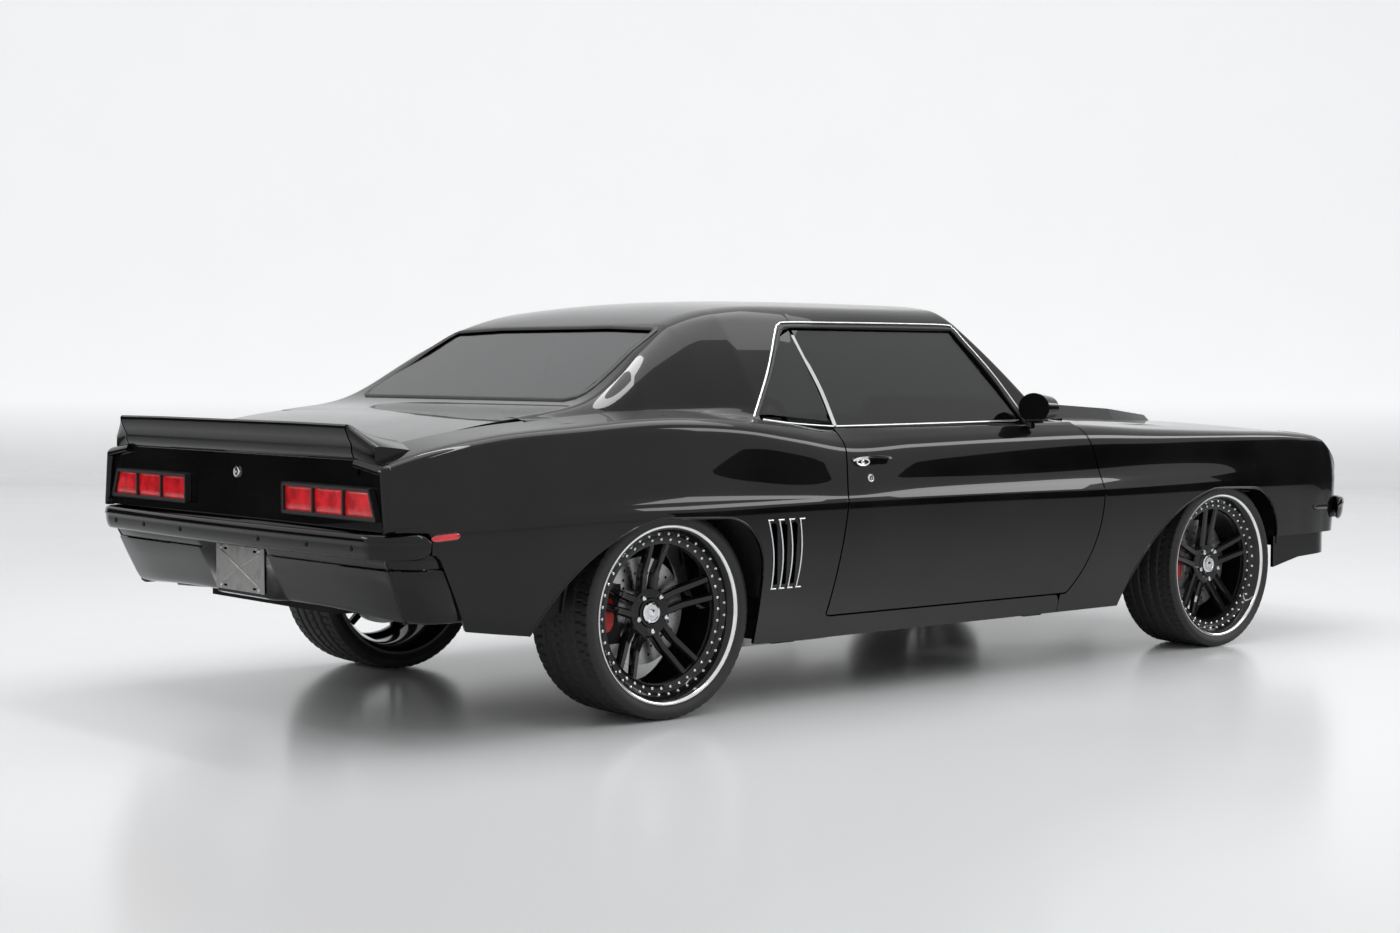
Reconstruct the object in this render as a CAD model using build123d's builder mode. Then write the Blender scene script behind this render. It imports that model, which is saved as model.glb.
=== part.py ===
from build123d import *
import math
import os

# Two-door muscle car, built up from its panels, glass, running gear and seats.
# Frame, in millimetres: +X to the car's left, +Y to its rear, +Z up. The origin is on the floor, under the
# middle of the car's length and width. The left side is drawn and the right side is its mirror image.

os.makedirs("parts", exist_ok=True)

# ---------------------------------------------------------------- driving dimensions
LENGTH = 4724
WHEELBASE = 2743
REAR_OVERHANG = 1046
TAIL_Y = LENGTH / 2
NOSE_Y = -LENGTH / 2
REAR_AXLE_Y = TAIL_Y - REAR_OVERHANG
FRONT_AXLE_Y = REAR_AXLE_Y - WHEELBASE

RUNNING_GAP = 0.5       # between a wheel's hub and what carries it
SEAT_GAP = 0.3          # between pieces of one body that rest on each other
SHUT_GAP = 6            # round the doors, the hood and the trunk lid
PANEL_GAP = 3           # between fixed panels that meet edge to edge
SKIN = 22               # fenders and quarter panels, with their flanges
ROOF_WALL = 40          # roof with its rails and pillars
GLASS = 6
SHEET = 8               # floor, firewall and other inner sheet work, with its beads

KINGPIN_X = 690
FLOOR_Z = 200           # underside of the floor and of the sills
BELT_Z = 872            # foot of the side glass
BELT_X = 832
DRIP_Z = 1217           # head of the side glass, under the drip rail
DRIP_X = 606
ROOF_Z = 1303

DOOR_INNER_X = 778
SHUT_STEP = 16          # of the door's rear face, inboard of SHUT_STEP_X
SHUT_STEP_X = 892
DOOR_HINGE_X = 912
DOOR_HINGE_Y = -585
HINGE_PIN_R = 6
HINGE_CLEAR = 0.3
HINGE_ARM_Z = 607
HINGE_ARM_T = 20
HINGE_PIN_LENGTH = 68

HOOD_REAR_Y = -700
HOOD_FRONT_Y = -2180
HOOD_THICK = 24
HOOD_CROWN = 26         # rise of the hood's middle over its edges
TRUNK_FRONT_Y = 1745
TRUNK_REAR_Y = 2290
TRUNK_EDGE_X = 686
TRUNK_THICK = 25
REAR_BUMPER_Z = (532, 604)

# One row for each station along the body side. Columns: y, then the half width and the height of the sill, the low
# bulge, the crease, the top of the ledge over it, the start and the end of the shoulder.
SIDE = [
    # y      sill        low         crease      ledge       shoulder 1  shoulder 2
    (-2310, (728, 200), (752, 430), (762, 635), (758, 670), (752, 700), (735, 738)),
    (-2230, (798, 200), (822, 430), (832, 635), (826, 690), (815, 735), (790, 777)),
    (-2100, (833, 200), (858, 430), (868, 635), (860, 700), (850, 760), (822, 796)),
    (-1900, (850, 200), (876, 430), (888, 635), (878, 705), (868, 780), (838, 812)),
    (-1600, (858, 200), (890, 430), (906, 635), (890, 712), (880, 790), (846, 822)),
    (-1300, (860, 200), (898, 430), (914, 634), (893, 712), (884, 792), (848, 830)),
    (-1000, (862, 200), (903, 430), (920, 633), (897, 706), (888, 790), (850, 840)),
    (-600, (864, 200), (908, 430), (926, 634), (902, 692), (894, 790), (850, 860)),
    (-200, (865, 200), (910, 430), (929, 638), (910, 680), (898, 786), (852, 862)),
    (300, (866, 200), (912, 430), (931, 641), (918, 668), (902, 778), (856, 856)),
    (620, (868, 200), (915, 430), (933, 641), (926, 658), (908, 775), (862, 850)),
    (820, (870, 200), (918, 430), (936, 642), (925, 664), (908, 812), (868, 874)),
    (1020, (874, 205), (922, 430), (939, 642), (925, 668), (905, 850), (870, 895)),
    (1316, (880, 230), (925, 430), (940, 641), (925, 671), (900, 872), (866, 908)),
    (1650, (878, 272), (915, 432), (934, 638), (922, 664), (892, 856), (862, 890)),
    (1950, (862, 308), (895, 440), (912, 628), (906, 645), (876, 838), (850, 866)),
    (2200, (835, 345), (868, 450), (886, 620), (883, 633), (862, 797), (842, 820)),
    (2310, (812, 365), (848, 455), (864, 618), (862, 630), (848, 766), (834, 786)),
]
# Half width and height of the hood's edge, which the fender's flange follows at the shut gap.
HOOD_EDGE = {
    -2310: (594, 750), -2230: (634, 786), -2100: (670, 806), -1900: (694, 820),
    -1600: (694, 832), -1300: (694, 844), -1000: (694, 856), -600: (694, 878), -200: (694, 890),
}
# Inner edge of the door's top, which holds the glass, and of the quarter panel's, which meets the roof and the lid.
DOOR_EDGE = {y: (BELT_X, BELT_Z) for y in (-1000, -600, -200, 300, 620, 820)}
QUARTER_EDGE = {
    -600: (829, 872), -200: (829, 872), 300: (829, 872), 620: (828, 870), 820: (812, 896), 1020: (797, 918),
    1316: (785, 932), 1650: (730, 912), 1950: (694, 882), 2200: (694, 838), 2310: (694, 806),
}
FENDER_EDGE = {y: (x + SHUT_GAP, z) for y, (x, z) in HOOD_EDGE.items()}


def side_wall(edge, skin=None, inner_x=None):
    """The left body side, a loft through the stations that the edge table names.

    With skin it is a wall of that thickness with a flange along its top, and with inner_x it is solid to that plane.
    """
    with BuildPart() as wall:
        for y, sill, low, crease, ledge, shoulder_low, shoulder_top in SIDE:
            if y not in edge:
                continue
            flange = edge[y]
            run = shoulder_low[0] - shoulder_top[0]
            shoulder = (
                (shoulder_low[0] + shoulder_top[0]) / 2 + 0.28 * run,
                (shoulder_low[1] + shoulder_top[1]) / 2 + 0.1 * run,
            )
            if skin is None:
                inside = [(inner_x, flange[1]), (inner_x, sill[1])]
            else:
                inside = [
                    (flange[0], flange[1] - skin),
                    (shoulder_top[0] - skin * 0.8, shoulder_top[1] - skin),
                    (shoulder_low[0] - skin, shoulder_low[1] - skin * 0.5),
                    (ledge[0] - skin, ledge[1]),
                    (crease[0] - skin, crease[1]),
                    (low[0] - skin, low[1]),
                    (sill[0] - skin, sill[1]),
                ]
            with BuildSketch(Plane.XZ.offset(-y)):
                with BuildLine():
                    ThreePointArc(sill, low, crease)
                    Line(crease, ledge)
                    Line(ledge, shoulder_low)
                    ThreePointArc(shoulder_low, shoulder, shoulder_top)
                    Polyline(shoulder_top, flange, *inside, sill)
                make_face()
        loft()
    return wall.part


# ---------------------------------------------------------------- side view outlines (y, z)
DOOR_FRONT = [(-560, 880), (-655, 600), (-500, 270)]
DOOR_REAR = [(680, 274), (628, 600), (604, 872)]
DOOR_HEAD_Z = 1100
FENDER_FOOT_Y = -470    # where the fender ends at the sill
NOSE_CURVE = [(-1900, 830), (-2200, 712), (-2312, 500)]
CHIN = [(-2312, 500), (-2285, 408)]
# Wheel arches: foot and side at the front, shoulder, flat top, then the long sweep down at the rear.
FRONT_ARCH = [(-1768, 380), (-1722, 530), (-1590, 606), (-1330, 614), (-1090, 530), (-800, 180)]
REAR_ARCH = [(980, 420), (1026, 548), (1150, 608), (1400, 616), (1640, 520), (1850, 270)]


def arch(points):
    """A wheel arch's opening in side view."""
    side, front_shoulder, top_front, top_rear, rear_shoulder, foot = points
    with BuildSketch(Plane.YZ) as opening:
        with BuildLine():
            ThreePointArc(side, front_shoulder, top_front)
            Line(top_front, top_rear)
            ThreePointArc(top_rear, rear_shoulder, foot)
            Polyline(foot, (foot[0], 0), (side[0], 0), side)
        make_face()
    return opening.sketch


def door_outline(grow):
    """The door in side view, grown by the shut gap for the opening."""
    with BuildSketch(Plane.YZ) as outline:
        with BuildLine():
            ThreePointArc(*DOOR_FRONT)
            Line(DOOR_FRONT[-1], DOOR_REAR[0])
            ThreePointArc(*DOOR_REAR)
            Polyline(
                DOOR_REAR[-1], (DOOR_REAR[-1][0], DOOR_HEAD_Z), (DOOR_FRONT[0][0], DOOR_HEAD_Z), DOOR_FRONT[0]
            )
        make_face()
        if grow:
            offset(amount=grow, kind=Kind.INTERSECTION)
    return outline.sketch


def side_polygon(*points):
    """A face in side view with straight edges."""
    with BuildSketch(Plane.YZ) as polygon:
        with BuildLine():
            Polyline(*points, close=True)
        make_face()
    return polygon.sketch


REACH = 1000            # past the widest part of the body
door_face = door_outline(0)
door_face_flat = Plane.YZ.to_local_coords(door_face)
door_opening = door_outline(SHUT_GAP)
front_arch = arch(FRONT_ARCH)
rear_arch = arch(REAR_ARCH)
# Everything ahead of the door's leading edge.
fender_region = side_polygon(
    (DOOR_FRONT[0][0] - SHUT_GAP, 1100), (-2500, 1100), (-2500, 100), (FENDER_FOOT_Y, 100),
    (FENDER_FOOT_Y, DOOR_FRONT[2][1] - SHUT_GAP), (-640, 300), (-640, 870),
    (DOOR_FRONT[0][0] - SHUT_GAP, 875),
)
# The quarter panel runs forward under the door as the rocker panel.
quarter_region = side_polygon(
    (FENDER_FOOT_Y + PANEL_GAP, 0), (2500, 0), (2500, 1000), (DOOR_REAR[2][0], 1000), (DOOR_REAR[2][0], 400),
    (DOOR_REAR[0][0], DOOR_FRONT[2][1]), (FENDER_FOOT_Y + PANEL_GAP, DOOR_FRONT[2][1]),
)
# Under the chin, ahead of the front wheel, where the valance closes the corner.
valance_region = side_polygon((-2500, 0), (FRONT_ARCH[0][0] + 5, 0), (FRONT_ARCH[0][0] + 5, CHIN[1][1]),
                              (-2500, CHIN[1][1]))

with BuildSketch(Plane.YZ) as nose_face:
    with BuildLine():
        ThreePointArc(*NOSE_CURVE)
        Polyline(
            *CHIN, (CHIN[1][0], 100), (-2600, 100), (-2600, 1100), (NOSE_CURVE[0][0], 1100), NOSE_CURVE[0],
        )
    make_face()

# ---------------------------------------------------------------- side panels
fender_wall = side_wall(FENDER_EDGE, skin=SKIN)
with BuildPart() as fender:
    add(fender_wall)
    extrude(fender_region, amount=REACH, mode=Mode.INTERSECT)
    extrude(door_opening, amount=REACH, mode=Mode.SUBTRACT)
    extrude(front_arch, amount=REACH, mode=Mode.SUBTRACT)
    extrude(nose_face.sketch, amount=REACH, mode=Mode.SUBTRACT)
    extrude(valance_region, amount=REACH, mode=Mode.SUBTRACT)

door_wall = side_wall(DOOR_EDGE, inner_x=DOOR_INNER_X)
with BuildPart() as door:
    add(door_wall)
    extrude(door_face, amount=REACH, mode=Mode.INTERSECT)
    # The rear shut face steps forward inside the skin, so that it clears the body as the door swings.
    with BuildSketch(Plane.YZ.offset(DOOR_INNER_X - 10)):
        add(door_face_flat)
        with Locations((-SHUT_STEP, 0)):
            add(door_face_flat, mode=Mode.SUBTRACT)
    extrude(amount=SHUT_STEP_X - DOOR_INNER_X + 10, mode=Mode.SUBTRACT)
    # The pocket that the hinge arm swings in, and the bore of its pin.
    with Locations(((DOOR_INNER_X - 6 + DOOR_HINGE_X + 8) / 2, DOOR_HINGE_Y - 50, HINGE_ARM_Z)):
        Box(DOOR_HINGE_X + 8 - DOOR_INNER_X + 6, 130, HINGE_ARM_T + 10, mode=Mode.SUBTRACT)
    with BuildSketch(Plane.XY.offset(HINGE_ARM_Z - HINGE_PIN_LENGTH / 2 - HINGE_CLEAR)):
        with Locations((DOOR_HINGE_X, DOOR_HINGE_Y)):
            Circle(HINGE_PIN_R + HINGE_CLEAR)
    extrude(amount=HINGE_PIN_LENGTH + 2 * HINGE_CLEAR, mode=Mode.SUBTRACT)

# The gills ahead of the rear wheel: slots between ribs that lean forward, closed behind.
GILLS = 3
GILL_HEAD = (977, 842, 588)     # y of the first and the last rib, and z, at the gills' head
GILL_FOOT = (943, 836, 378)
GILL_RIB = 18
GILL_DEPTH = 9
quarter_wall = side_wall(QUARTER_EDGE, skin=SKIN)
quarter_block = side_wall(QUARTER_EDGE, inner_x=520)
with BuildPart() as gills:
    for gill in range(GILLS):
        corners = []
        for rear, front, z in (GILL_HEAD, GILL_FOOT):
            pitch = (rear - front) / GILLS
            corners.append((rear - gill * pitch - GILL_RIB / 2, z))
            corners.append((rear - (gill + 1) * pitch + GILL_RIB / 2, z))
        extrude(side_polygon(corners[0], corners[1], corners[3], corners[2]), amount=REACH)
    with Locations((-GILL_DEPTH, 0, 0)):
        add(quarter_block, mode=Mode.SUBTRACT)
with BuildPart() as quarter:
    add(quarter_wall)
    extrude(quarter_region, amount=REACH, mode=Mode.INTERSECT)
    extrude(door_opening, amount=REACH, mode=Mode.SUBTRACT)
    extrude(rear_arch, amount=REACH, mode=Mode.SUBTRACT)
    # Below the crease the rear corner is rounded off behind the bumper's wrapped end.
    with BuildSketch():
        with BuildLine():
            ThreePointArc((874, 2176), (842, 2258), (780, 2312))
            Polyline((780, 2312), (780, 2500), (REACH, 2500), (REACH, 2176), (874, 2176))
        make_face()
    extrude(amount=REAR_BUMPER_Z[1] + SHUT_GAP, mode=Mode.SUBTRACT)
    add(gills.part, mode=Mode.SUBTRACT)
for piece, name in ((fender, "fender"), (door, "door"), (quarter, "quarter_panel")):
    piece.part.label = f"{name}_left"
    export_step(piece.part, f"parts/{name}_left.step")
    right = mirror(piece.part, about=Plane.YZ)
    right.label = f"{name}_right"
    export_step(right, f"parts/{name}_right.step")

# ---------------------------------------------------------------- roof, pillars and glass
GLASS_BULGE = 12        # of the side glass, in front view
CROWN_EDGE = (500, 1268)
RAIL_CORNER = (568, 1246)
SHIELD_FOOT = (-640, 880)   # the windshield's middle, at its foot and its head
SHIELD_HEAD = (-240, 1285)
SHIELD_BOW = 230            # how far the windshield's plane falls back at x = 900
ROOF_CREST_Y = 200
ROOF_BACK = (620, 1294)
ROOF_FALL = (880, 1266)
BACK_HEAD = (1080, 1200)
BACK_FOOT = (1500, 955)
DECK_REAR = (TRUNK_FRONT_Y - SHUT_GAP, 915)
GLASS_INSET = 4
SAIL_X = 735
BELT_CUT_Z = BELT_Z + SHUT_GAP + 2
# Window openings: side view, front view, rear view.
SIDE_WINDOW = [(-322, 860), (-165, 1192), (600, 1192), (665, 1170), (915, 905), (915, 860)]
SHIELD_WINDOW = [(-742, 860), (-742, 892), (-548, 1236), (548, 1236), (742, 892), (742, 860)]
BACK_WINDOW = [(-600, 962), (-560, 1182), (560, 1182), (600, 962)]


def cabin_section(inset):
    """The cabin in front view, side glass, drip rail and crown, drawn in by the inset."""
    belt = (BELT_X - inset, BELT_Z)
    drip = (DRIP_X - 0.9 * inset, DRIP_Z - 0.4 * inset)
    middle = ((belt[0] + drip[0]) / 2 + GLASS_BULGE, (belt[1] + drip[1]) / 2)
    corner = (RAIL_CORNER[0] - 0.6 * inset, RAIL_CORNER[1] - 0.8 * inset)
    crown = (CROWN_EDGE[0] - 0.3 * inset, CROWN_EDGE[1] - inset)
    with BuildSketch(Plane.XZ) as section:
        with BuildLine():
            Line((belt[0], 700), belt)
            ThreePointArc(belt, middle, drip)
            ThreePointArc(drip, corner, crown)
            mirror(about=Plane.YZ)
            ThreePointArc(crown, (0, ROOF_Z - inset), (-crown[0], crown[1]))
            Line((-belt[0], 700), (belt[0], 700))
        make_face()
    return section.sketch


def cabin_side(inset):
    """The cabin in side view: windshield, roof, rear window and the deck ahead of the trunk lid."""
    foot = (SHIELD_FOOT[0] + 1.4 * inset, SHIELD_FOOT[1])
    front = (SHIELD_HEAD[0] + 1.4 * inset, SHIELD_HEAD[1] + 12 - inset)
    back = (ROOF_BACK[0], ROOF_BACK[1] - inset)
    rear = (BACK_HEAD[0], BACK_HEAD[1] - inset)
    with BuildSketch(Plane.YZ) as side:
        with BuildLine():
            ThreePointArc(front, (ROOF_CREST_Y, ROOF_Z + 1 - inset), back)
            ThreePointArc(back, (ROOF_FALL[0], ROOF_FALL[1] - inset), rear)
            Polyline(
                rear, (BACK_FOOT[0], BACK_FOOT[1] - inset), (DECK_REAR[0], DECK_REAR[1] - inset),
                (DECK_REAR[0], 700), (foot[0], 700), foot, front,
            )
        make_face()
    return side.sketch


def behind_shield(shift):
    """What lies behind the windshield's outer face: a bow in plan, carried along the glass's slope."""
    rise = Vector(0, SHIELD_HEAD[0] - SHIELD_FOOT[0], SHIELD_HEAD[1] - SHIELD_FOOT[1])
    below = 0.5
    start = SHIELD_FOOT[0] + shift - below * rise.Y
    with BuildPart() as block:
        with BuildSketch(Plane.XY.offset(SHIELD_FOOT[1] - below * rise.Z)):
            with BuildLine():
                ThreePointArc((-900, start + SHIELD_BOW), (0, start), (900, start + SHIELD_BOW))
                Polyline(
                    (900, start + SHIELD_BOW), (900, start + 3000), (-900, start + 3000), (-900, start + SHIELD_BOW)
                )
            make_face()
        extrude(amount=(1.2 + below) * rise.length, dir=rise)
    return block.part


def front_polygon(points, grow):
    """A face in front view, x against z, grown by an amount."""
    with BuildSketch(Plane.XZ) as polygon:
        with BuildLine():
            Polyline(*points, close=True)
        make_face()
        if grow:
            offset(amount=grow, kind=Kind.INTERSECTION)
    return polygon.sketch


right_quarter_block = mirror(quarter_block, about=Plane.YZ)
shield_outer = behind_shield(0)
shield_inner = behind_shield(ROOF_WALL * 1.4)
section_inner = cabin_section(ROOF_WALL)
side_inner = cabin_side(ROOF_WALL)

with BuildPart() as cabin_space:
    extrude(section_inner, amount=3000, both=True)
    extrude(side_inner, amount=REACH, both=True, mode=Mode.INTERSECT)
    add(shield_inner, mode=Mode.INTERSECT)

with BuildPart() as roof_shell:
    extrude(cabin_section(0), amount=3000, both=True)
    extrude(cabin_side(0), amount=REACH, both=True, mode=Mode.INTERSECT)
    add(shield_outer, mode=Mode.INTERSECT)
    # The rear pillars run in towards the trunk lid.
    with BuildSketch():
        with BuildLine():
            Polyline((-900, -900), (900, -900), (900, 900), (835, 900), (790, 1316), (SAIL_X, 1620), (SAIL_X, 1900),
                     (-SAIL_X, 1900), (-SAIL_X, 1620), (-790, 1316), (-835, 900), (-900, 900), close=True)
        make_face()
    extrude(amount=2000, mode=Mode.INTERSECT)
    add(cabin_space.part, mode=Mode.SUBTRACT)
    extrude(side_polygon(*SIDE_WINDOW), amount=REACH, both=True, mode=Mode.SUBTRACT)
    extrude(front_polygon(SHIELD_WINDOW, 0), amount=900, mode=Mode.SUBTRACT)
    extrude(front_polygon(BACK_WINDOW, 0), amount=-1560, mode=Mode.SUBTRACT)
    with Locations((0, 500, BELT_CUT_Z - 500)):
        Box(2000, 3000, 1000, mode=Mode.SUBTRACT)
    with Locations((0, 0, SEAT_GAP)):
        add(quarter_block, mode=Mode.SUBTRACT)
        add(right_quarter_block, mode=Mode.SUBTRACT)
roof_shell.part.label = "roof_shell"
export_step(roof_shell.part, "parts/roof_shell.step")

# Panes lie between two offsets of the cabin's skin and fit in the window openings.
with BuildPart() as windshield:
    extrude(front_polygon(SHIELD_WINDOW, -SEAT_GAP), amount=900)
    add(behind_shield(GLASS_INSET), mode=Mode.INTERSECT)
    add(behind_shield(GLASS_INSET + 1.4 * GLASS), mode=Mode.SUBTRACT)
    with Locations((0, 0, BELT_CUT_Z - 500)):
        Box(2000, 3000, 1000, mode=Mode.SUBTRACT)
windshield.part.label = "windshield"
export_step(windshield.part, "parts/windshield.step")

pane = side_polygon(
    (BACK_HEAD[0] - 30, BACK_HEAD[1] + 12), (BACK_FOOT[0] + 30, BACK_FOOT[1] - 23),
    (BACK_FOOT[0] + 27, BACK_FOOT[1] - 29), (BACK_HEAD[0] - 33, BACK_HEAD[1] + 6),
)
with BuildPart() as rear_window:
    extrude(pane, amount=REACH, both=True)
    extrude(front_polygon(BACK_WINDOW, -SEAT_GAP), amount=-2000, mode=Mode.INTERSECT)
rear_window.part.label = "rear_window"
export_step(rear_window.part, "parts/rear_window.step")

DOOR_GLASS = [
    (SIDE_WINDOW[0][0] + 14, BELT_Z + SEAT_GAP), (SIDE_WINDOW[1][0] + 10, SIDE_WINDOW[1][1] - 8),
    (596, SIDE_WINDOW[1][1] - 8), (596, BELT_Z + SEAT_GAP),
]
QUARTER_GLASS = [
    (610, 890), (610, SIDE_WINDOW[2][1] - 8), (SIDE_WINDOW[3][0] - 4, SIDE_WINDOW[3][1] - 6),
    (SIDE_WINDOW[4][0] - 11, SIDE_WINDOW[4][1] + 10), (850, 913),
]
glass_outer = cabin_section(GLASS_INSET)
glass_inner = cabin_section(GLASS_INSET + GLASS)
with BuildPart() as side_glass:
    extrude(glass_outer, amount=3000, both=True)
    extrude(glass_inner, amount=3000, both=True, mode=Mode.SUBTRACT)
with BuildPart() as door_glass:
    extrude(side_polygon(*DOOR_GLASS), amount=REACH)
    add(side_glass.part, mode=Mode.INTERSECT)
with BuildPart() as quarter_glass:
    extrude(side_polygon(*QUARTER_GLASS), amount=REACH, both=True)
    add(side_glass.part, mode=Mode.INTERSECT)
quarter_glass.part.label = "quarter_glass"
export_step(quarter_glass.part, "parts/quarter_glass.step")

# ---------------------------------------------------------------- hood
BULGE = [
    # y, half width and height of the raised middle over the hood's crown
    (-1860, 170, 1), (-1780, 215, 20), (-1500, 250, 38), (-1100, 290, 44), (-680, 320, 50),
]


def hood_height(y):
    """Height of the hood's middle, without its bulge, between the stations beside y."""
    stations = sorted(HOOD_EDGE)
    near = max(station for station in stations if station <= y)
    far = min(station for station in stations if station > y)
    share = (y - near) / (far - near)
    return HOOD_EDGE[near][1] + share * (HOOD_EDGE[far][1] - HOOD_EDGE[near][1]) + HOOD_CROWN


with BuildPart() as hood_bulge:
    for y, half, rise in BULGE:
        base = hood_height(y)
        with BuildSketch(Plane.XZ.offset(-y)):
            with BuildLine():
                Polyline((half + 40, base - 14), (-half - 40, base - 14), (-half, base + rise))
                ThreePointArc((-half, base + rise), (0, base + rise + 6), (half, base + rise))
                Line((half, base + rise), (half + 40, base - 14))
            make_face()
    loft(ruled=True)

with BuildPart() as hood:
    for y, (half, edge) in HOOD_EDGE.items():
        with BuildSketch(Plane.XZ.offset(-y)):
            with BuildLine():
                ThreePointArc((-half, edge), (0, edge + HOOD_CROWN), (half, edge))
                Line((half, edge), (half, edge - HOOD_THICK))
                ThreePointArc(
                    (half, edge - HOOD_THICK), (0, edge + HOOD_CROWN - HOOD_THICK), (-half, edge - HOOD_THICK)
                )
                Line((-half, edge - HOOD_THICK), (-half, edge))
            make_face()
    loft()
    add(hood_bulge.part)
    with Locations((0, (HOOD_REAR_Y + HOOD_FRONT_Y) / 2, 800)):
        Box(2000, HOOD_REAR_Y - HOOD_FRONT_Y, 600, mode=Mode.INTERSECT)
hood.part.label = "hood"
export_step(hood.part, "parts/hood.step")

# ---------------------------------------------------------------- trunk lid and spoiler
TRUNK_CROWN = 8
TRUNK_EDGE = {1700: 917, 1950: 882, 2127: 846, 2360: 790}
LID_LIP_Z = 762
with BuildPart() as trunk_lid:
    for y, edge in TRUNK_EDGE.items():
        with BuildSketch(Plane.XZ.offset(-y)):
            with BuildLine():
                ThreePointArc((-TRUNK_EDGE_X, edge), (0, edge + TRUNK_CROWN), (TRUNK_EDGE_X, edge))
                Line((TRUNK_EDGE_X, edge), (TRUNK_EDGE_X, edge - TRUNK_THICK))
                ThreePointArc(
                    (TRUNK_EDGE_X, edge - TRUNK_THICK), (0, edge + TRUNK_CROWN - TRUNK_THICK),
                    (-TRUNK_EDGE_X, edge - TRUNK_THICK),
                )
                Line((-TRUNK_EDGE_X, edge - TRUNK_THICK), (-TRUNK_EDGE_X, edge))
            make_face()
    loft()
    with Locations((0, (TRUNK_FRONT_Y + TRUNK_REAR_Y) / 2, 800)):
        Box(2000, TRUNK_REAR_Y - TRUNK_FRONT_Y, 600, mode=Mode.INTERSECT)
    # The lid turns down at its rear edge and closes on the tail panel.
    with Locations((0, TRUNK_REAR_Y - 10, (LID_LIP_Z + 800) / 2)):
        Box(2 * TRUNK_EDGE_X, 20, 800 - LID_LIP_Z)
trunk_lid.part.label = "trunk_lid"
export_step(trunk_lid.part, "parts/trunk_lid.step")

SPOILER = [
    (2165, 855), (2240, 868), (2322, 905), (2330, 895), (TRUNK_REAR_Y + 8, 800),
    (TRUNK_REAR_Y + SEAT_GAP, 800),
]
with BuildPart() as spoiler:
    extrude(side_polygon(*SPOILER, (TRUNK_REAR_Y + SEAT_GAP, 812), (2165, 842)), amount=TRUNK_EDGE_X, both=True)
    with Locations((0, 0, SEAT_GAP)):
        add(trunk_lid.part, mode=Mode.SUBTRACT)
spoiler.part.label = "spoiler"
export_step(spoiler.part, "parts/spoiler.step")

# Beside the lid the spoiler runs out on the quarter panels.
SPOILER_TIP_X = 786
SPOILER_TIP = [(2150, 830), (2215, 836), (2290, 842), (2296, 836), (2296, 790), (2150, 790)]
with BuildPart() as spoiler_end:
    with BuildSketch(Plane.YZ.offset(TRUNK_EDGE_X + SHUT_GAP)):
        with BuildLine():
            Polyline(*SPOILER[:5], (2165, 800), close=True)
        make_face()
    with BuildSketch(Plane.YZ.offset(SPOILER_TIP_X)):
        with BuildLine():
            Polyline(*SPOILER_TIP, close=True)
        make_face()
    loft(ruled=True)
    with Locations((0, 0, SEAT_GAP)):
        add(quarter_block, mode=Mode.SUBTRACT)
with BuildPart() as spoiler_ends:
    add(spoiler_end.part)
    mirror(about=Plane.YZ)
spoiler_ends.part.label = "spoiler_ends"
export_step(spoiler_ends.part, "parts/spoiler_ends.step")

# ---------------------------------------------------------------- tail
TAIL_PANEL_Y = 2270
TAIL_PANEL_T = 16
TAIL_PANEL_X = 845.4
TAIL_TOP_Z = LID_LIP_Z - 0.5
TAIL_FOOT_Z = 608
with BuildPart() as tail_panel:
    extrude(
        front_polygon([
            (-TAIL_PANEL_X, TAIL_FOOT_Z), (-TAIL_PANEL_X, 630), (-TAIL_PANEL_X + 17, 757), (-TAIL_PANEL_X + 29, 766),
            (-TRUNK_EDGE_X - 7, 782), (-TRUNK_EDGE_X - 7, TAIL_TOP_Z), (TRUNK_EDGE_X + 7, TAIL_TOP_Z),
            (TRUNK_EDGE_X + 7, 782), (TAIL_PANEL_X - 29, 766), (TAIL_PANEL_X - 17, 757), (TAIL_PANEL_X, 630),
            (TAIL_PANEL_X, TAIL_FOOT_Z),
        ], 0),
        amount=-TAIL_PANEL_Y - TAIL_PANEL_T,
    )
    with Locations((0, TAIL_PANEL_Y / 2, 700)):
        Box(2000, TAIL_PANEL_Y, 600, mode=Mode.SUBTRACT)
tail_panel.part.label = "tail_panel"
export_step(tail_panel.part, "parts/tail_panel.step")

# Lamps: three segments each, with slanted outer ends, in a bezel that stands proud of the tail panel.
LAMP_Z = (640, 724)
LAMP_X = (298, 800)
LAMP_SLANT = 36
LAMP_PROUD = 20
LAMP_SEGMENTS = 3
BEZEL = 10
with BuildPart() as tail_lamps:
    foot, head = LAMP_Z
    inner, outer = LAMP_X
    with BuildSketch(Plane.XZ.offset(-TAIL_PANEL_Y - TAIL_PANEL_T - SEAT_GAP)) as lamp_outline:
        with BuildLine():
            Polyline((inner, foot), (outer, foot), (outer - LAMP_SLANT, head), (inner, head), close=True)
        make_face()
    extrude(amount=-LAMP_PROUD)
    pitch = (outer - inner - BEZEL) / LAMP_SEGMENTS
    for segment in range(LAMP_SEGMENTS):
        start = inner + BEZEL + segment * pitch
        end = start + pitch - BEZEL
        slant = LAMP_SLANT if segment == LAMP_SEGMENTS - 1 else 0
        with BuildSketch(Plane.XZ.offset(-TAIL_PANEL_Y - TAIL_PANEL_T - LAMP_PROUD)):
            with BuildLine():
                Polyline(
                    (start, foot + BEZEL), (end, foot + BEZEL), (end - slant * 0.8, head - BEZEL),
                    (start, head - BEZEL), close=True,
                )
            make_face()
        extrude(amount=-LAMP_PROUD, mode=Mode.SUBTRACT)
    mirror(about=Plane.YZ)
tail_lamps.part.label = "tail_lamps"
export_step(tail_lamps.part, "parts/tail_lamps.step")

BUMPER_T = 16


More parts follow.
